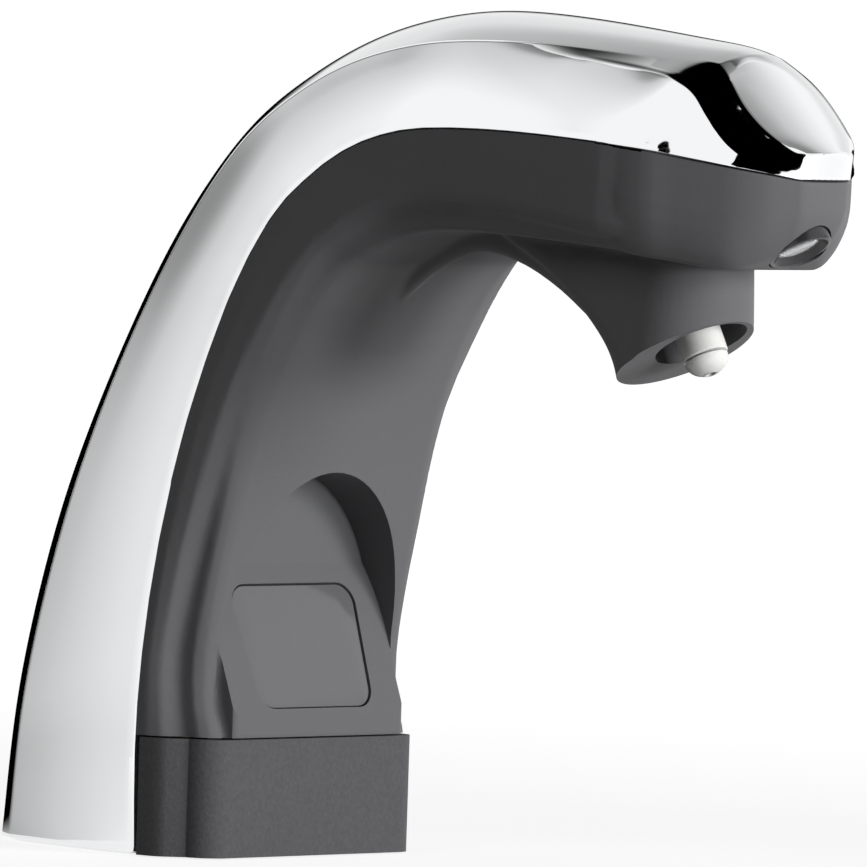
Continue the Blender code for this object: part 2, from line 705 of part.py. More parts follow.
def make_chrome_shell():
    """Plated cast shell: crown, sides and slanted nose, open towards the hand side."""
    shape = bmesh.new()
    rows = [[shape.verts.new(point) for point in shell_row(place)] for place in SHELL_STATIONS]
    for lower, upper in zip(rows, rows[1:]):
        for left in range(len(lower) - 1):
            shape.faces.new((lower[left], lower[left + 1], upper[left + 1], upper[left]))
    last = rows[-1]
    lip = last[SHELL_SIDE_STEPS:-SHELL_SIDE_STEPS]
    band = [last[:SHELL_SIDE_STEPS + 1], ]
    low_left = last[0].co.copy()
    low_right = last[-1].co.copy()
    for step in range(1, SHELL_CROWN_STEPS):
        share = step / SHELL_CROWN_STEPS
        bulge = (HEAD_FRONT_X - low_left.x) * math.sin(math.pi * share)
        foot = low_left.lerp(low_right, share) + Vector((bulge, 0.0, 0.0))
        column = [foot.lerp(lip[step].co, rise / SHELL_SIDE_STEPS) for rise in range(SHELL_SIDE_STEPS)]
        band.append([shape.verts.new(point) for point in column] + [lip[step]])
    band.append([*reversed(last[-SHELL_SIDE_STEPS - 1:])])
    for left, right in zip(band, band[1:]):
        for rise in range(SHELL_SIDE_STEPS):
            shape.faces.new((left[rise], right[rise], right[rise + 1], left[rise + 1]))
    bmesh.ops.recalc_face_normals(shape, faces=shape.faces)
    top = max(shape.faces, key=lambda face: face.calc_center_median().z)
    if top.normal.z < 0:
        bmesh.ops.reverse_faces(shape, faces=shape.faces)
    mesh = bpy.data.meshes.new("chrome_shell")
    shape.to_mesh(mesh)
    shape.free()
    made = add_object("chrome_shell", mesh, chrome())
    wall = made.modifiers.new("wall", "SOLIDIFY")
    wall.thickness = SHELL_WALL
    wall.offset = -1.0
    wall.use_even_offset = True
    for side in (-1, 1):
        spot = shell_boss_spot(side)
        boss = cylinder(f"shell_boss_{side}", (*spot, FLOOR_THICKNESS + CLEARANCE),
                        (*spot, SHELL_BOSS_TOP), SHELL_BOSS_RADIUS, sides=20)
        pilot = cylinder(f"shell_pilot_{side}", (*spot, 0.0),
                         (*spot, SHELL_SCREW_END + CLEARANCE), SCREW_RADIUS + CLEARANCE, sides=16)
        join(made, boss)
        cut(made, pilot)
    cut(made, box("shell_foot_cut", (-REACH, -HALF_WIDTH * 2, -OVERRUN),
                  (REACH / 2, HALF_WIDTH * 2, CLEARANCE)))
    soften(made, CREASE_ANGLE)
    return made


def body_ring(place):
    """Closed outer section of the body at a station."""
    parting, _, _, half, _ = station(place)
    down = inward(place)
    lean, offset = side_wall(place)
    strip = ease(STRIP_SHARES, place) * BLOCK_DEPTH
    face = ease(FACE_SHARES, place) * BLOCK_DEPTH
    outline = (
        (half - offset - lean * FLANGE_HEIGHT, -FLANGE_HEIGHT),
        (half - offset, CLEARANCE + lean * offset),
        (half, CLEARANCE),
        (half, strip * STRIP_TOP_SHARE),
        (half - STRIP_INSET * STRIP_EDGE_SHARE, strip * STRIP_LOW_SHARE),
        (half - STRIP_INSET, strip),
        (half - STRIP_INSET * WALL_INSET_SHARE, strip + (face - strip) * WALL_DEPTH_SHARE),
        (half - FACE_INSET, face - FACE_ROUNDING * FACE_EDGE_SHARE),
        (half - FACE_INSET - FACE_ROUNDING, face),
    )
    right = [parting + down * depth + Vector((0.0, wide, 0.0)) for wide, depth in outline]
    left = [Vector((point.x, -point.y, point.z)) for point in reversed(right)]
    return right + left


def cavity_ring(place):
    """Closed section of the cavity inside the body, open past the flange."""
    parting, _, _, half, _ = station(place)
    down = inward(place)
    depth = ease(CAVITY_SHARES, place) * BLOCK_DEPTH
    strip = ease(STRIP_SHARES, place) * BLOCK_DEPTH
    wide = half - CAVITY_INSET
    lean, offset = side_wall(place)
    mouth = half - offset - lean * FLANGE_HEIGHT - FLANGE_THICKNESS
    shoulder = min(strip * WALL_DEPTH_SHARE, depth - OVERRUN * 1.5)
    upper = min(strip * CAVITY_MOUTH_SHARE, shoulder - OVERRUN / 2)
    outline = ((mouth, -FLANGE_HEIGHT - OVERRUN * 2), (mouth, upper),
               (wide, shoulder), (wide, depth - OVERRUN), (wide - OVERRUN, depth))
    right = [parting + down * along + Vector((0.0, across, 0.0)) for across, along in outline]
    left = [Vector((point.x, -point.y, point.z)) for point in reversed(right)]
    return right + left


def head_outline(inset):
    """Plan outline of the head as (x, y), with the wall moved in by an inset."""
    last = len(STATION_SHARES) - 1
    plan = []
    for place in range(NOSE_STATION, last + 1):
        parting, _, _, half, _ = station(place)
        plan.append(Vector((parting.x, half)))
    plan[0] = Vector((HEAD_START_X, plan[0].y))
    plan.append(Vector((HEAD_FRONT_X - (HEAD_FRONT_X - plan[-1].x) * 0.25, plan[-1].y / 2)))
    plan.append(Vector((HEAD_FRONT_X, 0.0)))
    moved = []
    for index, point in enumerate(plan):
        before = plan[max(index - 1, 0)]
        after = plan[index + 1] if index + 1 < len(plan) else Vector((point.x, -plan[index - 1].y))
        along = (after - before).normalized()
        normal = Vector((-along.y, along.x))
        if index == 0:
            normal = Vector((-1.0, 1.0))
        moved.append(point - normal * inset)
    mirrored = [Vector((point.x, -point.y)) for point in reversed(moved[:-1])]
    return moved + mirrored


def parting_height(x):
    """Height of the parting line over a place on the head."""
    last = len(STATION_SHARES) - 1
    rows = [station(place)[0] for place in range(NOSE_STATION - 1, last + 1)]
    table = tuple((row.x, row.z) for row in rows)
    return ease(table, min(x, rows[-1].x))


def head_floor(x):
    """Height of the head's underside."""
    return ease(HEAD_FLOOR_TABLE, x)


def make_head_block():
    """Front of the body: plan outline stacked from the parting plane to the underside."""
    rings = [[Vector((point.x, point.y, parting_height(point.x) - HEAD_RIM_DROP))
              for point in head_outline(HEAD_INSET + HEAD_RIM_INSET)]]
    for share, inset_share in HEAD_WALL_SHARES:
        ring = []
        for point in head_outline(HEAD_INSET + inset_share * BLOCK_DEPTH):
            top = parting_height(point.x) - CLEARANCE * 1.5
            top -= HEAD_STEP if point.x < HEAD_LEVEL_X else 0.0
            ring.append(Vector((point.x, point.y, top + (head_floor(point.x) - top) * share)))
        rings.append(ring)
    return loft("head_block", rings, strips=True)


def stadium(rear, front, half_width, height, steps=8):
    """Horizontal ring with a round front and a tighter round rear."""
    points = []
    front_radius = half_width
    rear_radius = half_width * 0.92
    for centre, radius, start in ((front - front_radius, front_radius, -0.5),
                                  (rear + rear_radius, rear_radius, 0.5)):
        for step in range(steps + 1):
            angle = math.pi * (start + step / steps)
            points.append(Vector((centre + radius * math.cos(angle), radius * math.sin(angle), height)))
    return points


def make_boss():
    """Tapered boss under the head, before its opening is cut."""
    rings = []
    for rise, back, wide in BOSS_SHARES:
        height = BOSS_LOW_Z + rise * (BOSS_TOP_Z - BOSS_LOW_Z)
        rear = BOSS_REAR_X + back * (BOSS_TOP_REAR_X - BOSS_REAR_X)
        rings.append(stadium(rear, BOSS_FRONT_X, BOSS_HALF_WIDTH * wide, height))
    return loft("nozzle_boss", rings)


def make_ridge():
    """Rounded ridge from the arch down to the boss."""
    rings = []
    spots = [Vector((x * REACH, 0.0, z * HEIGHT)) for x, z, _ in RIDGE_SHARES]
    for index, (spot, row) in enumerate(zip(spots, RIDGE_SHARES)):
        before = spots[max(index - 1, 0)]
        after = spots[min(index + 1, len(spots) - 1)]
        along = (after - before).normalized()
        out = Vector((along.z, 0.0, -along.x))
        radius = row[2] * BOSS_HALF_WIDTH
        centre = spot - out * radius
        ring = []
        for step in range(12):
            angle = 2 * math.pi * step / 12
            ring.append(centre + out * radius * math.cos(angle)
                        + Vector((0.0, radius * math.sin(angle), 0.0)))
        rings.append(ring)
    return loft("arch_ridge", rings)


def niche_outline():
    """Arched outline of the niche as (height, y) points."""
    points = [(COLLAR_HEIGHT, -NICHE_HALF_WIDTH), (NICHE_SPRING, -NICHE_HALF_WIDTH)]
    steps = 14
    for step in range(1, steps):
        angle = math.pi * step / steps
        points.append((NICHE_SPRING + (NICHE_TOP - NICHE_SPRING) * math.sin(angle),
                       -NICHE_HALF_WIDTH * math.cos(angle)))
    points += [(NICHE_SPRING, NICHE_HALF_WIDTH), (COLLAR_HEIGHT, NICHE_HALF_WIDTH)]
    return points


def panel_x(height):
    """X of the slanted sensor panel at a height."""
    return PANEL_LOW_X - (height - PANEL_LOW_Z) * math.tan(PANEL_TILT)


def panel_height(x):
    """Height at which the slanted sensor panel reaches an X."""
    return PANEL_LOW_Z + (PANEL_LOW_X - x) / math.tan(PANEL_TILT)


def panel_matrix(height):
    """Frame on the slanted panel: local X across, local Y up the slope, local Z outward."""
    across = Vector((0.0, 1.0, 0.0))
    outward = Vector((math.cos(PANEL_TILT), 0.0, math.sin(PANEL_TILT)))
    up = outward.cross(across)
    turn = Matrix((across, up, outward)).transposed().to_4x4()
    return Matrix.Translation(Vector((panel_x(height), 0.0, height))) @ turn


def window_outline(grow):
    """Rounded outline of the window, a little wider at its top, grown by a margin."""
    half_height = WINDOW_HEIGHT / 2 + grow
    corner = WINDOW_CORNER + grow
    points = []
    for across, up, start in ((1, 1, 0.0), (-1, 1, 0.5), (-1, -1, 1.0), (1, -1, 1.5)):
        half_width = WINDOW_HALF_WIDTH + grow - (WINDOW_TAPER if up < 0 else 0.0)
        for step in range(6):
            angle = math.pi * (start + 0.5 * step / 5)
            points.append((across * (half_width - corner) + corner * math.cos(angle),
                           up * (half_height - corner) + corner * math.sin(angle)))
    return points


XZ_EXTRUDED_IN_Y = Matrix(((1.0, 0.0, 0.0, 0.0), (0.0, 0.0, 1.0, 0.0), (0.0, 1.0, 0.0, 0.0),
                           (0.0, 0.0, 0.0, 1.0)))
ZY_EXTRUDED_IN_X = Matrix(((0.0, 0.0, 1.0, 0.0), (0.0, 1.0, 0.0, 0.0), (1.0, 0.0, 0.0, 0.0),
                           (0.0, 0.0, 0.0, 1.0)))


def make_niche_cutter():
    """Arch prism, bounded behind by the niche's back and the slanted panel."""
    front = FRONT_REACH + BLOCK_DEPTH
    arch = prism("niche_cutter", niche_outline(), ZY_EXTRUDED_IN_X, NICHE_BACK_X, front)
    low = COLLAR_HEIGHT - OVERRUN
    high = panel_height(NICHE_BACK_X - OVERRUN)
    wedge_outline = [(panel_x(low), low), (front + OVERRUN, low), (front + OVERRUN, NICHE_TOP + OVERRUN),
                     (NICHE_BACK_X - OVERRUN, NICHE_TOP + OVERRUN), (NICHE_BACK_X - OVERRUN, high)]
    wedge = prism("niche_wedge", wedge_outline, XZ_EXTRUDED_IN_Y, -HALF_WIDTH, HALF_WIDTH)
    boolean(arch, wedge, "INTERSECT")
    return arch


def make_apron():
    """Wedge that carries the slanted panel out past the face above the collar."""
    outline = [(NICHE_BACK_X, COLLAR_HEIGHT), (APRON_FRONT_X, COLLAR_HEIGHT),
               (APRON_FRONT_X, panel_height(APRON_FRONT_X) + OVERRUN),
               (NICHE_BACK_X, panel_height(NICHE_BACK_X) + OVERRUN)]
    return prism("panel_apron", outline, XZ_EXTRUDED_IN_Y, -APRON_HALF_WIDTH, APRON_HALF_WIDTH)


def oval(length, width, steps=24):
    """Ellipse outline."""
    points = []
    for step in range(steps):
        angle = 2 * math.pi * step / steps
        points.append((length / 2 * math.cos(angle), width / 2 * math.sin(angle)))
    return points


def lens_matrix():
    """Frame on the sloped underside at the lens: local X forward, local Z pointing out."""
    forward = Vector((math.cos(LENS_TILT), 0.0, math.sin(LENS_TILT)))
    outward = Vector((math.sin(LENS_TILT), 0.0, -math.cos(LENS_TILT)))
    side = outward.cross(forward)
    turn = Matrix((forward, side, outward)).transposed().to_4x4()
    return Matrix.Translation(Vector((LENS_CENTRE_X, 0.0, head_floor(LENS_CENTRE_X)))) @ turn


def along_nozzle(distance, across=0.0):
    """Point on the nozzle axis, or beside it in Y."""
    return NOZZLE_ORIGIN + NOZZLE_AXIS * distance + Vector((0.0, across, 0.0))


def make_spout_body():
    """Black moulded body: strips, hand-side face, niche, sensor panel, head and boss."""
    made = loft("spout_body", [body_ring(place) for place in BODY_STATION_SHARES], black_plastic())
    join(made, make_head_block(), make_boss(), make_ridge(), make_apron())

    cavity = loft("body_cavity", [cavity_ring(place) for place in CAVITY_STATION_SHARES])
    pocket_plan = [(point.x, max(min(point.y, HEAD_POCKET_HALF_WIDTH), -HEAD_POCKET_HALF_WIDTH))
                   for point in head_outline(HEAD_INSET + HEAD_POCKET_WALL)]
    pocket_plan = ([(HEAD_START_X - OVERRUN * 2, HEAD_POCKET_HALF_WIDTH)] + pocket_plan
                   + [(HEAD_START_X - OVERRUN * 2, -HEAD_POCKET_HALF_WIDTH)])
    head_pocket = prism("head_pocket", pocket_plan, Matrix.Identity(4), HEAD_POCKET_FLOOR_Z, HEIGHT)
    foot = box("body_foot_cut", (-REACH, -HALF_WIDTH * 2, -OVERRUN),
               (REACH / 2, HALF_WIDTH * 2, COLLAR_HEIGHT + CLEARANCE))
    seat = box("holder_seat_cut", (0.0, -HOLDER_HALF_WIDTH - CLEARANCE,
                                   HOLDER_CENTRE_Z - HOLDER_HEIGHT / 2 - CLEARANCE),
               (CAVITY_FRONT_X, HOLDER_HALF_WIDTH + CLEARANCE,
                HOLDER_CENTRE_Z + HOLDER_HEIGHT / 2 + CLEARANCE))
    opening = cylinder("boss_face_cut", along_nozzle(0.0), along_nozzle(HEIGHT / 4), HEIGHT / 5, sides=24)
    groove_high = NOZZLE_HOLDER_LOW + RETAINER_THICKNESS + CLEARANCE * 2
    flare = (BOSS_MOUTH_RADIUS - BOSS_BORE_RADIUS) / MOUTH_DEPTH
    tunnel = turned("nozzle_tunnel", (
        (0.0, OVERRUN), (BOSS_MOUTH_RADIUS + flare * OVERRUN, OVERRUN),
        (BOSS_BORE_RADIUS, -MOUTH_DEPTH), (BOSS_BORE_RADIUS, groove_high),
        (RETAINER_RADIUS + CLEARANCE, groove_high), (RETAINER_RADIUS + CLEARANCE, NOZZLE_HOLDER_LOW),
        (BOSS_BORE_RADIUS, NOZZLE_HOLDER_LOW), (BOSS_BORE_RADIUS, -BOSS_BORE_DEPTH),
        (PASSAGE_RADIUS, -BOSS_BORE_DEPTH), (PASSAGE_RADIUS, -BOSS_BORE_DEPTH - HEIGHT / 8),
        (0.0, -BOSS_BORE_DEPTH - HEIGHT / 8)))
    frame = panel_matrix(WINDOW_CENTRE_Z)
    pocket = prism("window_pocket", window_outline(CLEARANCE), frame,
                   -WINDOW_THICKNESS - SEAL_THICKNESS - CLEARANCE * 3, OVERRUN)
    reach = DIODE_RADIUS + CLEARANCE * 2
    sight = box("sensor_sight",
                (CAVITY_FRONT_X - OVERRUN * 3, -DIODE_SPACING - reach, HOLDER_CENTRE_Z - reach),
                (PANEL_LOW_X, DIODE_SPACING + reach, WINDOW_CENTRE_Z + LEDGE_WIDTH))
    lens_frame = lens_matrix()
    recess = prism("lens_recess", oval(BEZEL_LENGTH + 2 * CLEARANCE, BEZEL_WIDTH + 2 * CLEARANCE),
                   lens_frame, -BEZEL_HEIGHT - CLEARANCE, OVERRUN)
    led_hole = cylinder("led_hole", (LENS_CENTRE_X, 0.0, head_floor(LENS_CENTRE_X)),
                        (LENS_CENTRE_X, 0.0, HEAD_POCKET_FLOOR_Z + OVERRUN),
                        LED_RADIUS + CLEARANCE, sides=20)
    cut(made, cavity, head_pocket, seat, make_niche_cutter(), foot, opening, tunnel,
        pocket, sight, recess, led_hole)
    for side in (-1, 1):
        cut(made, cylinder(f"body_screw_hole_{side}", (POST_X, side * POST_Y, COLLAR_HEIGHT),
                           (POST_X, side * POST_Y, BODY_SCREW_END + CLEARANCE),
                           SCREW_RADIUS + CLEARANCE, sides=16))
        rear = CAVITY_FRONT_X - HOLDER_THICKNESS - CLEARANCE
        cut(made, cylinder(f"sensor_screw_hole_{side}", (rear, side * SENSOR_SCREW_Y, SENSOR_SCREW_Z),
                           (rear + SENSOR_SCREW_LENGTH, side * SENSOR_SCREW_Y, SENSOR_SCREW_Z),
                           SMALL_SCREW_RADIUS + CLEARANCE, sides=12))
        board_top = HEAD_POCKET_FLOOR_Z + LED_BOARD_THICKNESS + CLEARANCE * 2
        cut(made, cylinder(f"indicator_screw_hole_{side}",
                           (LED_SCREW_X, side * LED_SCREW_Y, board_top - LED_SCREW_LENGTH - CLEARANCE),
                           (LED_SCREW_X, side * LED_SCREW_Y, board_top),
                           SMALL_SCREW_RADIUS + CLEARANCE, sides=12))
    soften(made, FORM_ANGLE)
    return made


def make_collar():
    """Base collar: textured front, floor plate inside the shell, and the shank hub."""
    half = station(0.0)[3]
    lean, offset = side_wall(0.0)
    edge = station(0.0)[0].x + CLEARANCE + lean * offset
    right = [(edge, half), (edge + STRIP_DEPTH * STRIP_TOP_SHARE, half),
             (edge + STRIP_DEPTH * STRIP_LOW_SHARE, half - STRIP_INSET * STRIP_EDGE_SHARE),
             (edge + STRIP_DEPTH, FRONT_HALF_WIDTH)]
    for step in range(6):
        angle = math.pi / 2 * (1 - step / 5)
        right.append((FRONT_REACH - FRONT_CORNER + FRONT_CORNER * math.cos(angle),
                      FRONT_HALF_WIDTH - FRONT_CORNER + FRONT_CORNER * math.sin(angle)))
    front_outline = right + [(x, -y) for x, y in reversed(right)]
    made = prism("base_collar", front_outline, Matrix.Identity(4), -OVERRUN, COLLAR_HEIGHT, black_coat())
    plate = []
    for point in shell_row(SHELL_BOSS_STATION_SHARE):
        flat = Vector((point.x, point.y, 0.0))
        plate.append(flat - flat.normalized() * (SHELL_WALL + FLOOR_GAP))
    half_inner = plate[0]
    plate_outline = [(edge + OVERRUN, half_inner.y)] + [(point.x, point.y) for point in plate] + [
        (edge + OVERRUN, -half_inner.y)]
    floor = prism("collar_floor", plate_outline, Matrix.Identity(4), -OVERRUN / 2, FLOOR_THICKNESS)
    hub = cylinder("collar_hub", (0.0, 0.0, FLOOR_THICKNESS / 2), (0.0, 0.0, HUB_HEIGHT), HUB_RADIUS)
    inside = box("collar_pocket", (edge - OVERRUN, -FRONT_HALF_WIDTH + COLLAR_FRONT_WALL,
                                   FLOOR_THICKNESS + CLEARANCE),
                 (FRONT_REACH - COLLAR_FRONT_WALL, FRONT_HALF_WIDTH - COLLAR_FRONT_WALL,
                  COLLAR_HEIGHT + OVERRUN))
    cut(made, inside)
    join(made, floor, hub)
    for side in (-1, 1):
        join(made, cylinder(f"collar_post_{side}", (POST_X, side * POST_Y, FLOOR_THICKNESS / 2),
                            (POST_X, side * POST_Y, COLLAR_HEIGHT), POST_RADIUS, sides=20))
    cut(made, box("collar_foot_cut", (-REACH, -HALF_WIDTH * 2, -OVERRUN * 2),
                  (REACH, HALF_WIDTH * 2, 0.0)))
    cut(made, cylinder("insert_bore", (0.0, 0.0, INSERT_SHOULDER_HEIGHT), (0.0, 0.0, HEIGHT / 4),
                       INSERT_RADIUS + CLEARANCE))
    cut(made, cylinder("shoulder_bore", (0.0, 0.0, -OVERRUN),
                       (0.0, 0.0, INSERT_SHOULDER_HEIGHT + OVERRUN), INSERT_SHOULDER_RADIUS))
    cut(made, turned("gasket_groove", (
        (GASKET_INNER_RADIUS - CLEARANCE, -OVERRUN), (GASKET_OUTER_RADIUS + CLEARANCE, -OVERRUN),
        (GASKET_OUTER_RADIUS + CLEARANCE, GASKET_THICKNESS + CLEARANCE),
        (GASKET_INNER_RADIUS - CLEARANCE, GASKET_THICKNESS + CLEARANCE)),
        origin=(0.0, 0.0, 0.0), direction=(0.0, 0.0, 1.0), sides=40))
    for side in (-1, 1):
        for spot, label in (((POST_X, side * POST_Y), "front"), (shell_boss_spot(side), "rear")):
            cut(made, cylinder(f"collar_hole_{label}_{side}", (*spot, -OVERRUN),
                               (*spot, COLLAR_HEIGHT + OVERRUN), SCREW_RADIUS + CLEARANCE, sides=16))
            cut(made, cylinder(f"collar_head_recess_{label}_{side}", (*spot, -OVERRUN),
                               (*spot, SCREW_HEAD_RECESS + SCREW_HEAD_HEIGHT + CLEARANCE),
                               SCREW_HEAD_RADIUS + CLEARANCE, sides=20))
    soften(made)
    return made


def make_insert():
    low = INSERT_SHOULDER_HEIGHT + CLEARANCE
    return turned("shank_insert", ((INSERT_BORE_RADIUS, low), (INSERT_RADIUS, low),
                                   (INSERT_RADIUS, low + INSERT_HEIGHT),
                                   (INSERT_BORE_RADIUS, low + INSERT_HEIGHT)),
                  brass(), (0.0, 0.0, 0.0), (0.0, 0.0, 1.0), 40)


def make_gasket():
    return turned("deck_gasket", ((GASKET_INNER_RADIUS, 0.0), (GASKET_OUTER_RADIUS, 0.0),
                                  (GASKET_OUTER_RADIUS, GASKET_THICKNESS),
                                  (GASKET_INNER_RADIUS, GASKET_THICKNESS)),
                  rubber(), (0.0, 0.0, 0.0), (0.0, 0.0, 1.0), 40)


SIDES = (("left", 1), ("right", -1))


def make_screw(name, spot, direction, length, radius, head_radius, head_height, drive_radius):
    """Round-headed screw with a drive recess. Its head seat is at the spot."""
    return turned(name, (
        (0.0, -head_height + DRIVE_DEPTH), (drive_radius, -head_height + DRIVE_DEPTH),
        (drive_radius, -head_height), (head_radius * 0.8, -head_height),
        (head_radius, -head_height * 0.7), (head_radius, 0.0), (radius, 0.0),
        (radius, length - radius), (0.0, length)), steel(), spot, direction, 12)


def make_fasteners():
    seat = SCREW_HEAD_RECESS + SCREW_HEAD_HEIGHT
    up = (0.0, 0.0, 1.0)
    rear = CAVITY_FRONT_X - HOLDER_THICKNESS - CLEARANCE * 2
    small = (SMALL_SCREW_RADIUS, SMALL_SCREW_HEAD_RADIUS, SMALL_SCREW_HEAD_HEIGHT, SMALL_DRIVE_RADIUS)
    large = (SCREW_RADIUS, SCREW_HEAD_RADIUS, SCREW_HEAD_HEIGHT, DRIVE_RADIUS)
    for label, side in SIDES:
        make_screw(f"body_screw_{label}", (POST_X, side * POST_Y, seat), up,
                   BODY_SCREW_END - seat, *large)
        make_screw(f"shell_screw_{label}", (*shell_boss_spot(side), seat), up,
                   SHELL_SCREW_END - seat, *large)
        make_screw(f"sensor_screw_{label}", (rear, side * SENSOR_SCREW_Y, SENSOR_SCREW_Z),
                   (1.0, 0.0, 0.0), SENSOR_SCREW_LENGTH, *small)


def make_window():
    frame = panel_matrix(WINDOW_CENTRE_Z)
    prism("sensor_window", window_outline(0.0), frame, -WINDOW_THICKNESS - CLEARANCE, -CLEARANCE,
          dark_window(), CLEARANCE)
    rear = -WINDOW_THICKNESS - CLEARANCE * 2
    seal = prism("window_seal", window_outline(0.0), frame, rear - SEAL_THICKNESS, rear, rubber())
    cut(seal, prism("window_seal_inner", window_outline(-SEAL_WIDTH), frame, rear - OVERRUN, OVERRUN))


def make_sensor():
    plate_front = CAVITY_FRONT_X - CLEARANCE
    plate_rear = plate_front - HOLDER_THICKNESS
    board_front = plate_rear - CLEARANCE
    board_rear = board_front - BOARD_THICKNESS
    low = HOLDER_CENTRE_Z - HOLDER_HEIGHT / 2
    high = HOLDER_CENTRE_Z + HOLDER_HEIGHT / 2
    holder = box("sensor_holder", (plate_rear, -HOLDER_HALF_WIDTH, low),
                 (plate_front, HOLDER_HALF_WIDTH, high), black_plastic())
    box("sensor_board", (board_rear, -BOARD_HALF_WIDTH, HOLDER_CENTRE_Z - BOARD_HEIGHT / 2),
        (board_front, BOARD_HALF_WIDTH, HOLDER_CENTRE_Z + BOARD_HEIGHT / 2), circuit_board())
    for name, side, material in (("ir_emitter", -1, clear_plastic()), ("ir_receiver", 1, dark_window())):
        spot = (board_front + CLEARANCE, side * DIODE_SPACING, HOLDER_CENTRE_Z)
        turned(name, ((0.0, 0.0), (DIODE_RADIUS, 0.0), (DIODE_RADIUS, DIODE_LENGTH - DIODE_RADIUS),
                      (DIODE_RADIUS * 0.87, DIODE_LENGTH - DIODE_RADIUS / 2),
                      (DIODE_RADIUS / 2, DIODE_LENGTH - DIODE_RADIUS * 0.13), (0.0, DIODE_LENGTH)),
               material, spot, (1.0, 0.0, 0.0), 20)
        cut(holder, cylinder(f"holder_bore_{name}", (plate_rear - OVERRUN, *spot[1:]),
                             (plate_front + OVERRUN, *spot[1:]), DIODE_RADIUS + CLEARANCE, sides=24))
    for side in (-1, 1):
        spot = (side * SENSOR_SCREW_Y, SENSOR_SCREW_Z)
        cut(holder, cylinder(f"holder_screw_hole_{side}", (plate_rear - OVERRUN, *spot),
                             (plate_front + OVERRUN, *spot), SMALL_SCREW_RADIUS + CLEARANCE, sides=12))
    depth, width, height = SOCKET_SIZE
    socket_rear = board_rear - CLEARANCE - depth
    centre = Vector((socket_rear, SENSOR_CABLE_ROUTE[0][1], SENSOR_CABLE_ROUTE[0][2]))
    box("board_socket", centre - Vector((0.0, width / 2, height / 2)),
        centre + Vector((depth, width / 2, height / 2)), white_plastic(), CLEARANCE)


def make_indicator():
    frame = lens_matrix()
    bezel = prism("indicator_bezel", oval(BEZEL_LENGTH, BEZEL_WIDTH), frame, -BEZEL_HEIGHT,
                  -CLEARANCE, black_plastic(), CLEARANCE)
    cut(bezel, prism("bezel_inner", oval(LENS_LENGTH + 2 * CLEARANCE, LENS_WIDTH + 2 * CLEARANCE),
                     frame, -BEZEL_HEIGHT - OVERRUN, OVERRUN))
    prism("indicator_lens", oval(LENS_LENGTH, LENS_WIDTH), frame, -BEZEL_HEIGHT,
          -BEZEL_HEIGHT + LENS_HEIGHT, clear_plastic(), CLEARANCE * 2)
    board_low = HEAD_POCKET_FLOOR_Z + CLEARANCE
    rear = LENS_CENTRE_X - LED_BOARD_LENGTH + LED_RADIUS + CLEARANCE
    front = rear + LED_BOARD_LENGTH
    board = box("indicator_board", (rear, -LED_BOARD_WIDTH / 2, board_low),
                (front, LED_BOARD_WIDTH / 2, board_low + LED_BOARD_THICKNESS), circuit_board())
    top = board_low - CLEARANCE
    for side in (-1, 1):
        cut(board, cylinder(f"indicator_board_hole_{side}",
                            (LED_SCREW_X, side * LED_SCREW_Y, board_low - OVERRUN),
                            (LED_SCREW_X, side * LED_SCREW_Y, board_low + OVERRUN),
                            SMALL_SCREW_RADIUS + CLEARANCE, sides=12))
    for label, side in SIDES:
        make_screw(f"indicator_screw_{label}",
                   (LED_SCREW_X, side * LED_SCREW_Y, board_low + LED_BOARD_THICKNESS + CLEARANCE),
                   (0.0, 0.0, -1.0), LED_SCREW_LENGTH, SMALL_SCREW_RADIUS, SMALL_SCREW_HEAD_RADIUS,
                   SMALL_SCREW_HEAD_HEIGHT, SMALL_DRIVE_RADIUS)
    turned("indicator_led", ((0.0, 0.0), (LED_RADIUS, 0.0), (LED_RADIUS, LED_LENGTH - LED_RADIUS / 2),
                             (LED_RADIUS * 0.6, LED_LENGTH), (0.0, LED_LENGTH)),
           clear_plastic(), (LENS_CENTRE_X, 0.0, top), (0.0, 0.0, -1.0), 16)


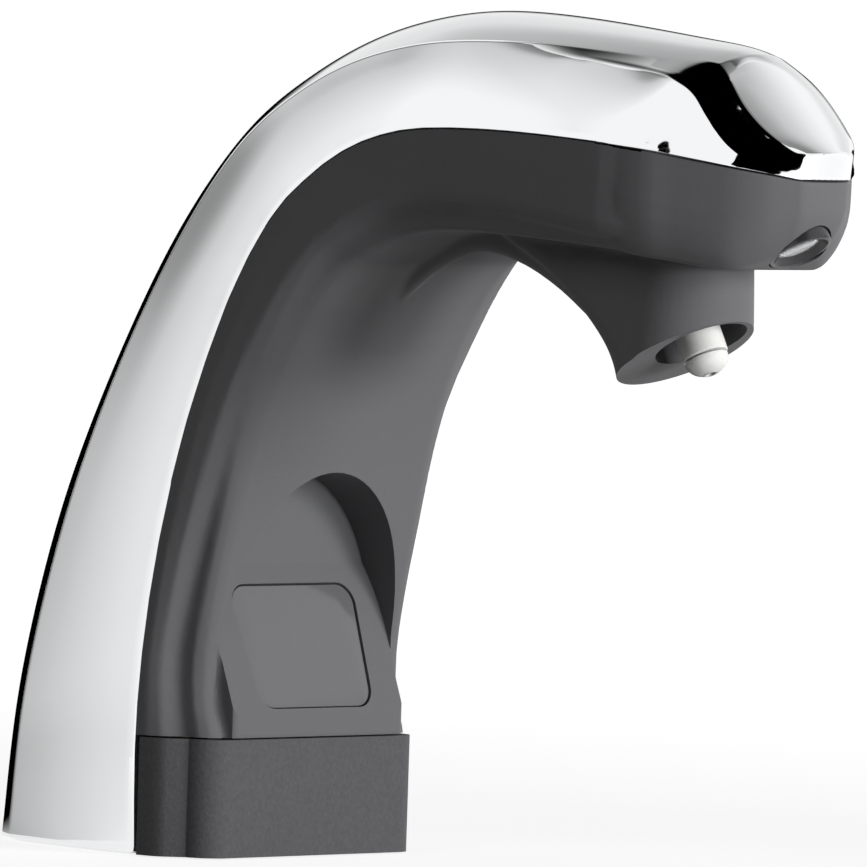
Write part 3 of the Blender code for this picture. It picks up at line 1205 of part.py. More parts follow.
def make_nozzle():
    """Holder, retainer, seal, sleeve, tip, ball and spring on the nozzle axis."""
    turned("nozzle_holder", (
        (NOZZLE_RADIUS + CLEARANCE, NOZZLE_HOLDER_LOW), (HOLDER_RADIUS, NOZZLE_HOLDER_LOW),
        (HOLDER_RADIUS, NOZZLE_HOLDER_TOP), (SPIGOT_RADIUS, NOZZLE_HOLDER_TOP),
        (SPIGOT_RADIUS, SPIGOT_TOP), (SPIGOT_BORE_RADIUS, SPIGOT_TOP),
        (SPIGOT_BORE_RADIUS, SLEEVE_TOP - CLEARANCE),
        (NOZZLE_RADIUS + CLEARANCE, SLEEVE_TOP - CLEARANCE),
        (NOZZLE_RADIUS + CLEARANCE, ORING_PLACE - GROOVE_HALF_WIDTH),
        (GROOVE_RADIUS, ORING_PLACE - GROOVE_HALF_WIDTH),
        (GROOVE_RADIUS, ORING_PLACE + GROOVE_HALF_WIDTH),
        (NOZZLE_RADIUS + CLEARANCE, ORING_PLACE + GROOVE_HALF_WIDTH)), white_plastic())
    ring = []
    for step in range(10):
        angle = 2 * math.pi * step / 10
        ring.append((ORING_CENTRE_RADIUS + ORING_RADIUS * math.cos(angle),
                     ORING_PLACE + ORING_RADIUS * math.sin(angle)))
    turned("nozzle_oring", ring, rubber())
    retainer_low = NOZZLE_HOLDER_LOW + CLEARANCE
    retainer = turned("nozzle_retainer", (
        (RETAINER_INNER_RADIUS, retainer_low), (RETAINER_RADIUS, retainer_low),
        (RETAINER_RADIUS, retainer_low + RETAINER_THICKNESS),
        (RETAINER_INNER_RADIUS, retainer_low + RETAINER_THICKNESS)), steel())
    rear_side = NOZZLE_AXIS.cross(Vector((0.0, 1.0, 0.0)))
    gap_start = along_nozzle(retainer_low - OVERRUN) + rear_side * RETAINER_INNER_RADIUS / 2
    cut(retainer, prism("retainer_gap", ((0.0, -RETAINER_GAP / 2), (HOLDER_RADIUS, -RETAINER_GAP / 2),
                                         (HOLDER_RADIUS, RETAINER_GAP / 2), (0.0, RETAINER_GAP / 2)),
                        Matrix.Translation(gap_start) @ Matrix((rear_side, Vector((0.0, 1.0, 0.0)),
                                                                NOZZLE_AXIS)).transposed().to_4x4(),
                        0.0, RETAINER_THICKNESS + OVERRUN * 2))
    turned("nozzle_sleeve", (
        (SLEEVE_BORE_RADIUS, SLEEVE_TOP), (NOZZLE_RADIUS - CLEARANCE, SLEEVE_TOP),
        (NOZZLE_RADIUS, SLEEVE_TOP + CLEARANCE), (NOZZLE_RADIUS, SLEEVE_LOW),
        (CHAMBER_RADIUS, SLEEVE_LOW), (CHAMBER_RADIUS, SEAT_TOP + CHAMBER_RADIUS - SLEEVE_BORE_RADIUS),
        (SLEEVE_BORE_RADIUS, SEAT_TOP)), white_plastic())
    top = SLEEVE_LOW + CLEARANCE
    dome = []
    for step in range(6):
        angle = math.pi / 2 * step / 5 * 0.82
        dome.append((TIP_RADIUS * math.cos(angle), top + TIP_LENGTH * math.sin(angle)))
    turned("nozzle_tip", [(OUTLET_RADIUS, TIP_SPIGOT_TOP), (TIP_SPIGOT_RADIUS, TIP_SPIGOT_TOP),
                          (TIP_SPIGOT_RADIUS, top)] + dome + [(OUTLET_RADIUS, dome[-1][1])],
           white_plastic())
    ball = bmesh.new()
    bmesh.ops.create_uvsphere(ball, u_segments=16, v_segments=10, radius=BALL_RADIUS)
    bmesh.ops.transform(ball, matrix=axis_matrix(along_nozzle(BALL_CENTRE), NOZZLE_AXIS), verts=ball.verts)
    made = add_object("valve_ball", mesh_from(ball, "valve_ball"), steel())
    soften(made)
    make_spring()


def tube_between(name, points, radius, material=None, resolution=2):
    """Curve tube with filled caps, turned into a closed mesh."""
    holder, curve = curve_object(name, points, False)
    curve.dimensions = "3D"
    curve.bevel_depth = radius
    curve.bevel_resolution = resolution
    curve.use_fill_caps = True
    mesh = evaluated_mesh(holder, name)
    bpy.data.objects.remove(holder)
    made = add_object(name, mesh, material)
    soften(made)
    return made


def smooth_route(points, step_length):
    """Points at even steps along a smooth curve through the given points."""
    spots = [Vector(point) for point in points]
    lengths = [0.0]
    for start, end in zip(spots, spots[1:]):
        lengths.append(lengths[-1] + (end - start).length)
    table = tuple((along, *spot) for along, spot in zip(lengths, spots))
    count = max(int(round(lengths[-1] / step_length)), 2)
    return [Vector([ease(table, lengths[-1] * step / count, column) for column in (1, 2, 3)])
            for step in range(count + 1)]


def make_spring():
    """Coil spring under the valve ball."""
    low = TIP_SPIGOT_TOP - CLEARANCE - SPRING_WIRE_RADIUS
    high = SPRING_TOP + SPRING_WIRE_RADIUS
    place = axis_matrix(NOZZLE_ORIGIN, NOZZLE_AXIS)
    points = []
    per_turn = 12
    for step in range(SPRING_TURNS * per_turn + 1):
        angle = 2 * math.pi * step / per_turn
        along = high + (low - high) * step / (SPRING_TURNS * per_turn)
        points.append(place @ Vector((SPRING_RADIUS * math.cos(angle), SPRING_RADIUS * math.sin(angle), along)))
    tube_between("valve_spring", points, SPRING_WIRE_RADIUS, steel(), 1)


def make_tube_and_cables():
    route = [Vector((0.0, 0.0, GASKET_THICKNESS))]
    for place, across in TUBE_PLACE_SHARES:
        parting, _, crown = station(place)[:3]
        route.append(parting.lerp(crown, across))
    route += [along_nozzle(SPIGOT_TOP - TUBE_LEAD * step) for step in (3, 2, 1, 0)] + [along_nozzle(TUBE_END)]
    points = smooth_route(route, TUBE_RADIUS * 2)
    tube = tube_between("soap_tube", points, TUBE_RADIUS, tube_plastic(), 3)
    first = points[0] + (points[0] - points[1]).normalized() * OVERRUN
    last = points[-1] + (points[-1] - points[-2]).normalized() * OVERRUN
    cut(tube, tube_between("soap_tube_bore", [first] + points[1:-1] + [last], TUBE_BORE_RADIUS, None, 2))
    light = Vector((LENS_CENTRE_X, 0.0, HEAD_POCKET_FLOOR_Z))
    led_route = [light + Vector(share) * LED_BOARD_LENGTH for share in LED_CABLE_START_SHARES]
    for place, across, sideways in LED_CABLE_PLACE_SHARES:
        parting, _, crown = station(place)[:3]
        led_route.append(parting.lerp(crown, across) + Vector((0.0, sideways * HALF_WIDTH, 0.0)))
    led_route += [Vector(point) for point in LED_CABLE_END]
    for name, route in (("sensor_cable", SENSOR_CABLE_ROUTE), ("indicator_cable", led_route)):
        tube_between(name, smooth_route(route, CABLE_RADIUS * 3), CABLE_RADIUS, cable_jacket(), 2)
    half = Vector(PLUG_SIZE) / 2
    centre = Vector(PLUG_PLACE) + Vector((0.0, 0.0, half.z))
    box("cable_plug", centre - half, centre + half, white_plastic(), CLEARANCE * 2)


def joint_empty(name, origin, direction, children):
    """Empty on a joint's axis, with the pieces that move about it parented to it."""
    empty = bpy.data.objects.new(name, None)
    empty.empty_display_size = NOZZLE_RADIUS
    PARTS.objects.link(empty)
    place = axis_matrix(origin, direction)
    empty.matrix_world = place
    for child in children:
        piece = bpy.data.objects[child]
        piece.parent = empty
        piece.matrix_parent_inverse = place.inverted()


def make_joints():
    joint_empty("valve_lift", along_nozzle(BALL_CENTRE), NOZZLE_AXIS, ("valve_ball",))
    joint_empty("nozzle_pull", NOZZLE_ORIGIN, NOZZLE_AXIS,
                ("nozzle_sleeve", "nozzle_tip", "valve_spring", "valve_lift"))


make_chrome_shell()
make_spout_body()
make_collar()
make_insert()
make_gasket()
make_fasteners()
make_window()
make_sensor()
make_indicator()
make_nozzle()
make_tube_and_cables()
make_joints()
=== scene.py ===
import math

import bmesh
import bpy
from mathutils import Matrix, Vector


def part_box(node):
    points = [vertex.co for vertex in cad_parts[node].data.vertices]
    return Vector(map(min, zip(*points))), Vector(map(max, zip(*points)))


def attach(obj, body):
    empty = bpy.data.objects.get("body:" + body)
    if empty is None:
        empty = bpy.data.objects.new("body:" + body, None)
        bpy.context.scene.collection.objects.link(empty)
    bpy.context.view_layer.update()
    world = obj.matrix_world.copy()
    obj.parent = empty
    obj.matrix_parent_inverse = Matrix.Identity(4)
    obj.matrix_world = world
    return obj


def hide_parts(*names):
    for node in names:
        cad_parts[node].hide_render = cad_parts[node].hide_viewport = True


bl_info = {
    "name": "Automatic soap dispenser",
    "version": (1, 0, 0),
    "blender": (4, 5, 0),
    "location": "3D View > Sidebar > Dispenser",
    "description": "Builds the visible surfaces of a deck-mounted automatic soap dispenser",
    "category": "Object",
}

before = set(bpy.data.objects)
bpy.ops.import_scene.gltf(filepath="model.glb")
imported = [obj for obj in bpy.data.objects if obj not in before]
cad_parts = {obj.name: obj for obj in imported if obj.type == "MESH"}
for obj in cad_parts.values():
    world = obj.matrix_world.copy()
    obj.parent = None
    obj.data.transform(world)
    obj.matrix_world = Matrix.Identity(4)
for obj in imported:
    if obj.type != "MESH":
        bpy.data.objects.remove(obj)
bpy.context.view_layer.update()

# Side-view stations from the deck to the nose: parting line, crease and crown as (x, z),
# then the half widths at the parting line and at the crease. The first rows are shares of
# the base's depth and the niche's height, the others of the reach and the height.
STATION_SHARES = (
    (0.295, 0.000, -0.272, 0.000, -0.486, 0.000, 1.000, 0.759),
    (0.285, 0.269, -0.251, 0.280, -0.454, 0.289, 0.997, 0.759),
    (0.297, 0.524, -0.201, 0.536, -0.400, 0.564, 0.990, 0.759),
    (0.343, 0.818, -0.091, 0.889, -0.283, 0.931, 0.983, 0.759),
    (0.186, 0.510, 0.027, 0.560, -0.044, 0.585, 0.966, 0.741),
    (0.240, 0.651, 0.109, 0.711, 0.047, 0.743, 0.941, 0.710),
    (0.296, 0.746, 0.196, 0.827, 0.153, 0.863, 0.917, 0.686),
    (0.345, 0.794, 0.273, 0.887, 0.243, 0.924, 0.897, 0.666),
    (0.400, 0.830, 0.352, 0.928, 0.332, 0.968, 0.879, 0.641),
    (0.457, 0.851, 0.430, 0.951, 0.419, 0.991, 0.866, 0.610),
    (0.518, 0.861, 0.507, 0.962, 0.504, 0.999, 0.852, 0.579),
    (0.607, 0.863, 0.607, 0.964, 0.607, 0.994, 0.834, 0.517),
    (0.694, 0.860, 0.700, 0.959, 0.701, 0.985, 0.810, 0.448),
    (0.781, 0.854, 0.790, 0.952, 0.791, 0.975, 0.779, 0.372),
    (0.832, 0.849, 0.836, 0.950, 0.843, 0.969, 0.734, 0.324),
    (0.865, 0.843, 0.869, 0.947, 0.880, 0.959, 0.655, 0.297),
    (0.899, 0.837, 0.897, 0.926, 0.909, 0.937, 0.572, 0.352),
    (0.932, 0.831, 0.921, 0.901, 0.934, 0.912, 0.483, 0.379),
    (0.957, 0.826, 0.947, 0.876, 0.960, 0.886, 0.379, 0.358),
    (0.971, 0.822, 0.967, 0.860, 0.980, 0.867, 0.286, 0.310),
    (0.980, 0.819, 0.981, 0.846, 1.000, 0.850, 0.217, 0.234),
)
BASE_STATIONS = 4
LAST_STATION = len(STATION_SHARES) - 1
NOSE_STATION = 13
LAST_RING_STATION = 14.0
RING_STEP = 0.25
# Depth of the strip's lower edge and of the hand-side face, by station, as shares of the
# block's depth measured in from the parting line. The cavity inside is given the same way.
STRIP_SHARES = ((1.0, 0.533), (1.5, 0.42), (2.0, 0.355), (2.7, 0.413), (3.7, 0.50), (4.35, 0.533),
                (5.0, 0.633), (7.0, 0.733), (9.0, 0.767), (11.0, 0.833), (13.0, 0.98), (14.0, 1.0))
FACE_SHARES = ((1.0, 0.86), (1.16, 0.84), (1.5, 0.713), (2.0, 0.653), (2.7, 0.667), (3.35, 0.687),
               (3.7, 0.667), (4.35, 0.667), (5.0, 0.733), (7.0, 0.967), (9.0, 1.067), (11.0, 1.133),
               (13.0, 1.160), (14.0, 1.150))
CAVITY_SHARES = ((1.0, 0.20), (2.0, 0.16), (2.7, 0.05), (3.0, 0.0), (3.45, -0.12), (3.7, -0.05),
                 (4.0, 0.33), (4.35, 0.45), (5.0, 0.54), (6.0, 0.62), (7.0, 0.70), (9.0, 0.78),
                 (11.0, 0.77), (14.0, 0.76))
CAVITY_STATIONS = (0.9, 1.4, 1.9, 2.6, 2.9, 3.4, 3.65, 3.9, 4.3, 5.1, 6.1, 7.1, 8.1, 9.1, 10.1,
                   11.1, 12.1, 12.9)
# Head: share of the way down with the outline's inset, then the place along the reach with
# the share of the underside's rise
HEAD_WALL_SHARES = ((0.0, 0.0), (0.25, 0.0), (0.50, 0.006), (0.66, 0.028), (0.78, 0.07), (0.87, 0.12),
                    (0.94, 0.19), (0.98, 0.25), (1.0, 0.32))
HEAD_FLOOR_SHARES = ((0.760, 0.40), (0.832, 0.18), (0.884, 0.0), (0.911, 0.0), (0.936, 0.27),
                     (0.961, 0.60), (0.990, 1.0))
# Boss: share of its height, share of the way back of its rear, share of its width.
# Ridge: x and z as shares of the reach and the height, radius as a share of the boss's width.
BOSS_SHARES = ((0.00, 0.0, 1.0), (0.18, 0.0, 1.0), (0.37, 0.11, 0.98), (0.61, 0.39, 0.93),
               (0.77, 0.66, 0.88), (0.87, 0.88, 0.82), (1.00, 1.15, 0.76))
RIDGE_SHARES = ((0.316, 0.637, 0.11), (0.357, 0.670, 0.20), (0.401, 0.698, 0.29),
                (0.460, 0.717, 0.40), (0.529, 0.706, 0.55), (0.600, 0.676, 0.78),
                (0.664, 0.634, 0.80))

# Named places, in metres, of the pieces that the frame holds
GAP = 0.0003
OVERRUN = 0.002
SPARE = 0.001
BASE_DEPTH = 0.0613
NICHE_TOP = 0.0630
COLLAR_HEIGHT = 0.0193
BLOCK_DEPTH = 0.0150
FRONT_X = 0.0315
FRONT_HALF_WIDTH = 0.0255
FLANGE_HEIGHT = 0.0040
FLANGE_THICKNESS = 0.0020
STRIP_INSET = 0.0040
FACE_INSET = 0.0055
FACE_EDGE = 0.0004
FACE_TURN = 0.0015
CAVITY_INSET = 0.0063
NICHE_HALF_WIDTH = 0.0208
NICHE_SPRING = 0.0360
NICHE_BACK_X = 0.0232
PANEL_TILT = math.radians(20.0)
PANEL_LOW_X = 0.0330
PANEL_LOW_Z = 0.0205
WINDOW_CENTRE_Z = 0.0343
WINDOW_HALF_WIDTH = 0.0146
WINDOW_HEIGHT = 0.0208
WINDOW_CORNER = 0.0034
WINDOW_TAPER = 0.0010
WINDOW_THICKNESS = 0.0016
WINDOW_BEVEL = 0.0004
HEAD_LOW_Z = 0.1000
HEAD_FRONT_RISE = 0.0060
HEAD_START_X = 0.1080
HEAD_FRONT_X = 0.1382
LIP_PROUD = 0.0003
HEAD_RUN_IN = 0.0090
HEAD_RUN_IN_WIDTH = 0.88
HEAD_RUN_IN_DEPTH = 0.93
HEAD_TUCK = 0.0012
HEAD_INSET = 0.0004
HEAD_POCKET_FLOOR_Z = 0.1082
NOZZLE_TILT = math.radians(27.0)
NOZZLE_AXIS = Vector((math.sin(NOZZLE_TILT), 0.0, -math.cos(NOZZLE_TILT)))
NOZZLE_ORIGIN = Vector((0.1122, 0.0, 0.0875))
BOSS_FRONT_X = 0.1198
BOSS_HALF_WIDTH = 0.0114
BOSS_REAR_X = 0.0978
BOSS_REAR_SHARE = 0.92
BOSS_LOW_Z = 0.0760
BOSS_TOP_Z = 0.1065
BOSS_TOP_REAR_X = 0.0700
BOSS_STEPS = 24
BOSS_SIDES = 20
RIDGE_STEPS = 20
RIDGE_SIDES = 32
BORE_RADIUS = 0.0074
MOUTH_RADIUS = 0.0078
BORE_DEPTH = 0.0165
RETAINER_RADIUS = 0.0079
HOLDER_LOW = -0.0082
LENS_CENTRE_X = 0.1328
LENS_TILT = math.radians(29.0)
LENS_LENGTH = 0.0076
LENS_WIDTH = 0.0066
BEZEL_LENGTH = 0.0110
BEZEL_WIDTH = 0.0100
BEZEL_HEIGHT = 0.0026
LENS_LOW = 0.0020

# Walls, seats and holes inside the body, in metres
APRON_PROUD = 0.0004
HEAD_POCKET_MARGIN = 0.0149
HEAD_WALL = 0.0025
NICHE_WALL = 0.0020
HOLDER_DROP = 0.0038
HOLDER_HALF_WIDTH = 0.0181
HOLDER_HALF_HEIGHT = 0.0093
SIGHT_DEPTH = 0.0060
SIGHT_HALF_WIDTH = 0.0096
SIGHT_LOW = 0.0031
SIGHT_HIGH = 0.0028
WINDOW_SEAT = 0.0015
RETAINER_WIDTH = 0.0016
MOUTH_SINK = 0.0040
TUNNEL_LOW = -0.0030
PASSAGE_RADIUS = 0.0048
PASSAGE_LENGTH = 0.0175
HOLE_RADIUS = 0.0018
POST_X = 0.0248
POST_Y = 0.0178
POST_HOLE_TOP = 0.0303

# Collar and its floor, in metres. The edge beside the shell is given by the distance
# forward and how far it lies in from the full half width.
COLLAR_EDGE = ((0.0, 0.0), (0.0027, 0.0), (0.0043, 0.0003), (0.0055, 0.0010))
COLLAR_FRONT_START = 0.0078
COLLAR_CORNER = 0.0045
COLLAR_WALL = 0.0032
COLLAR_FLOOR = 0.0063
COLLAR_BEVEL = 0.0005
PLATE_GAP = 0.0012
PLATE_LOW = 0.0001
PLATE_TOP = 0.0060
FACE_STEP = 0.0002
HUB_HEIGHT = 0.0145
HUB_RADIUS = 0.0154
POST_RADIUS = 0.0042
POST_LOW = 0.0030
INSERT_LOW = 0.0030
INSERT_HOLE_TOP = 0.0350
INSERT_HOLE_RADIUS = 0.0138
SHOULDER_HOLE_TOP = 0.0050
SHOULDER_HOLE_RADIUS = 0.0118
GASKET_RADII = (0.0127, 0.0163)
GASKET_GROOVE_TOP = 0.0019
SCREW_HOLE_TOP = 0.0300
SCREW_RECESS_TOP = 0.0037
SCREW_RECESS_RADIUS = 0.0030

# Angles in degrees above which an edge stays sharp
SHELL_SHARP_ANGLE = 40
PLASTIC_SHARP_ANGLE = 32
WINDOW_SHARP_ANGLE = 30
LAMP_SHARP_ANGLE = 35
NOZZLE_SHARP_ANGLE = 40

# Nozzle sleeve and tip, in metres: radii, and distances along the nozzle's axis
NOZZLE_RADIUS = 0.0038
SLEEVE_TOP = -0.0148
SLEEVE_LOW = 0.0023
SLEEVE_BORE_RADIUS = 0.0015
CHAMBER_RADIUS = 0.0025
CHAMBER_TOP = -0.0070
SEAT_TOP = -0.0080
SLEEVE_ROUND = 0.00025
TIP_RADIUS = 0.0036
TIP_LOW_RADIUS = 0.0034
TIP_DOME_HEIGHT = 0.0027
TIP_DOME_LIFT = 0.00015
TIP_DOME_SHARE = 0.86
TIP_SPIGOT_RADIUS = 0.0021
TIP_SPIGOT_TOP = -0.0005
OUTLET_RADIUS = 0.0010
OUTLET_LIP_RADIUS = 0.00115


def length_property(label, what, value):
    """Length in metres with its default."""
    return bpy.props.FloatProperty(name=label, description=what, default=value, unit="LENGTH")


class DispenserSizes(bpy.types.PropertyGroup):
    """Sizes that a user would change"""
    height: length_property("Height", "Deck to the top of the crown", 0.140)
    reach: length_property("Reach", "Shank axis to the tip of the nose", 0.140)
    half_width: length_property("Half width", "Half of the width at the deck", 0.029)
    shell_wall: length_property("Shell wall", "Thickness of the plated shell", 0.0018)
    body_voxel: length_property("Body detail", "Cell size of the body's skin", 0.0005)
    fillet_passes: bpy.props.IntProperty(name="Fillet softness",
                                         description="Smoothing passes where the boss and ridge blend in",
                                         default=5, min=0, max=60)
    grain: length_property("Plastic grain", "Grain of the moulded texture", 0.0003)
    collar_grain: length_property("Collar grain", "Grain of the collar's texture", 0.0006)


def srgb_linear(hex_code):
    """Linear colour from an sRGB hex value."""
    channels = [int(hex_code[place:place + 2], 16) / 255 for place in (1, 3, 5)]
    linear = [value / 12.92 if value <= 0.04045 else ((value + 0.055) / 1.055) ** 2.4
              for value in channels]
    return (*linear, 1.0)


def colour_property(label, what, hex_code):
    """Colour swatch with a default from a hex value."""
    return bpy.props.FloatVectorProperty(name=label, description=what, default=srgb_linear(hex_code),
                                         size=4, subtype="COLOR", min=0.0, max=1.0)


class DispenserColours(bpy.types.PropertyGroup):
    """Colours that a user would change"""
    chrome: colour_property("Chrome", "Plated shell", "#F4F5F6")
    body: colour_property("Body", "Moulded black body", "#606062")
    collar: colour_property("Collar", "Coated base collar", "#505052")
    window: colour_property("Window", "Infrared window", "#5B5B5D")
    nozzle: colour_property("Nozzle", "White outlet pieces", "#D6D6D3")


def clamp(value):
    """Value kept between 0 and 1."""
    return min(max(value, 0.0), 1.0)


def mirrored(points):
    """Points on the other side of the XZ plane, in reverse order."""
    return [Vector((point.x, -point.y, point.z)) for point in reversed(points)]


def add_node(tree, kind, values=None, links=None, **settings):
    """Add a node with its settings, input values and links."""
    made = tree.nodes.new(kind)
    for name, value in settings.items():
        setattr(made, name, value)
    for socket, value in (values or {}).items():
        made.inputs[socket].default_value = value
    for socket, source in (links or {}).items():
        tree.links.new(source, made.inputs[socket])
    return made


def new_material(name, colour, roughness, metallic=0.0, ior=1.5):
    """Material with a Principled shader, returned with its tree and shader."""
    made = bpy.data.materials.new(name)
    made.use_nodes = True
    tree = made.node_tree
    shader = tree.nodes["Principled BSDF"]
    shader.inputs["Base Color"].default_value = colour
    shader.inputs["Roughness"].default_value = roughness
    shader.inputs["Metallic"].default_value = metallic
    if not metallic:
        shader.inputs["IOR"].default_value = ior
    return made, tree, shader


def textured_surface(tree, shader, grain, depth, rough_low, rough_high, shades=None, patch=0.012):
    """Moulded texture: grain as bump, patches of wear as roughness, and shades of one colour."""
    place = add_node(tree, "ShaderNodeTexCoord")
    fine = add_node(tree, "ShaderNodeTexNoise", {"Scale": 1 / grain, "Detail": 3.0, "Roughness": 0.6},
                    {"Vector": place.outputs["Object"]})
    broad = add_node(tree, "ShaderNodeTexNoise", {"Scale": 1 / patch, "Detail": 4.0, "Roughness": 0.55},
                     {"Vector": place.outputs["Object"]})
    bump = add_node(tree, "ShaderNodeBump", {"Strength": 1.0, "Distance": depth},
                    {"Height": fine.outputs["Fac"]})
    tree.links.new(bump.outputs["Normal"], shader.inputs["Normal"])
    wear = add_node(tree, "ShaderNodeMapRange", {"From Min": 0.3, "From Max": 0.7, "To Min": rough_low,
                                                 "To Max": rough_high}, {"Value": broad.outputs["Fac"]})
    tree.links.new(wear.outputs["Result"], shader.inputs["Roughness"])
    if shades:
        mix = add_node(tree, "ShaderNodeMix", {6: shades[0], 7: shades[1]}, {0: fine.outputs["Fac"]},
                       data_type="RGBA")
        tree.links.new(mix.outputs[2], shader.inputs["Base Color"])
    return place, fine, broad


def shaded(colour, factor):
    """Colour made lighter or darker by a factor."""
    return (*(min(channel * factor, 1.0) for channel in colour[:3]), 1.0)


def tones(colour, low, high):
    """Darker and lighter shade of a colour."""
    return shaded(colour, low), shaded(colour, high)


def chrome_material(colour):
    # Polished zinc casting with bright chrome plate: mirror reflections, with the faint
    # waviness that polishing leaves, about 8 mm across and less than a micrometre deep.
    made, tree, shader = new_material("chrome_plated_zinc_polished", colour, 0.04, 1.0)
    textured_surface(tree, shader, 0.008, 0.0000008, 0.03, 0.06, patch=0.02)
    return made


def body_material(colour, grain):
    # Black ABS from a spark-eroded mould: fine matt grain, slightly glossier where hands wipe it.
    made, tree, shader = new_material("black_abs_fine_grain_moulded", colour, 0.45, ior=1.54)
    shader.inputs["Specular IOR Level"].default_value = 0.08
    textured_surface(tree, shader, grain, grain * 0.05, 0.42, 0.52, tones(colour, 0.9, 1.1))
    return made


def collar_material(colour, grain):
    # Black ABS with a coarse spark-eroded texture: pebbled, duller than the body above it.
    made, tree, shader = new_material("black_abs_coarse_grain_moulded", colour, 0.55, ior=1.54)
    shader.inputs["Specular IOR Level"].default_value = 0.08
    textured_surface(tree, shader, grain, grain * 0.16, 0.48, 0.62, tones(colour, 0.7, 1.3))
    return made


def window_material(colour):
    # Infrared-pass acrylic: smooth and glossy, smoky grey, with a little haze in its depth.
    made, tree, shader = new_material("infrared_pass_acrylic_moulded", colour, 0.12, ior=1.49)
    textured_surface(tree, shader, 0.004, 0.000002, 0.10, 0.16, tones(colour, 0.96, 1.04))
    return made


def acetal_material(name, colour):
    # White acetal, moulded: waxy half gloss, a trace of light under its surface.
    made, tree, shader = new_material(name, colour, 0.32, ior=1.48)
    shader.inputs["Subsurface Weight"].default_value = 0.12
    shader.inputs["Subsurface Radius"].default_value = (0.0012, 0.0010, 0.0008)
    textured_surface(tree, shader, 0.0005, 0.000008, 0.28, 0.38, tones(colour, 0.97, 1.02))
    return made


def clear_material(name, colour, roughness):
    # Clear polycarbonate or epoxy, moulded: transparent, faint flow lines inside.
    made, tree, shader = new_material(name, colour, roughness, ior=1.58)
    shader.inputs["Transmission Weight"].default_value = 0.85
    textured_surface(tree, shader, 0.003, 0.000003, roughness, roughness * 1.8, tones(colour, 0.97, 1.03))
    return made


def rubber_material():
    # EPDM rubber, moulded: deep matt black with a fine bloom.
    colour = srgb_linear("#1C1C1D")
    made, tree, shader = new_material("epdm_rubber_moulded", colour, 0.75, ior=1.52)
    textured_surface(tree, shader, 0.0005, 0.00003, 0.68, 0.85, tones(colour, 0.85, 1.2))
    return made


def metal_material(name, hex_code, roughness, line=0.0006):
    # Bare or plated metal, turned or drawn: soft sheen with fine tool marks.
    colour = srgb_linear(hex_code)
    made, tree, shader = new_material(name, colour, roughness, 1.0)
    textured_surface(tree, shader, line, 0.000006, roughness * 0.8, roughness * 1.3,
                     tones(colour, 0.92, 1.04))
    return made


def board_material():
    # Glass-epoxy board under green solder mask: glossy, the weave of 0.4 mm faintly through it.
    colour = srgb_linear("#1E5A34")
    made, tree, shader = new_material("fr4_board_solder_mask", colour, 0.28, ior=1.55)
    place = add_node(tree, "ShaderNodeTexCoord")
    weave = add_node(tree, "ShaderNodeTexChecker", {"Scale": 1 / 0.0004, "Color1": shaded(colour, 0.85),
                                                    "Color2": shaded(colour, 1.15)},
                     {"Vector": place.outputs["Object"]})
    tree.links.new(weave.outputs["Color"], shader.inputs["Base Color"])
    bump = add_node(tree, "ShaderNodeBump", {"Strength": 0.3, "Distance": 0.00001},
                    {"Height": weave.outputs["Fac"]})
    tree.links.new(bump.outputs["Normal"], shader.inputs["Normal"])
    return made


def plastic_material(name, hex_code, roughness, grain=0.0004):
    # Small moulded or extruded plastic pieces: half gloss, with a slight unevenness.
    colour = srgb_linear(hex_code)
    made, tree, shader = new_material(name, colour, roughness)
    textured_surface(tree, shader, grain, 0.00001, roughness * 0.85, roughness * 1.2,
                     tones(colour, 0.9, 1.08))
    return made


def ease(table, place, column=1):
    """Catmull-Rom value of a column of a table whose first column rises."""
    last = len(table) - 1
    index = 0
    while index < last - 1 and table[index + 1][0] <= place:
        index += 1
    before = table[max(index - 1, 0)]
    start = table[index]
    end = table[index + 1]
    after = table[min(index + 2, last)]
    span = end[0] - start[0]
    part = clamp((place - start[0]) / span)
    slope_start = (end[column] - before[column]) / (end[0] - before[0]) * span
    slope_end = (after[column] - start[column]) / (after[0] - start[0]) * span
    square = part * part
    cube = square * part
    return ((2 * cube - 3 * square + 1) * start[column] + (cube - 2 * square + part) * slope_start
            + (3 * square - 2 * cube) * end[column] + (cube - square) * slope_end)


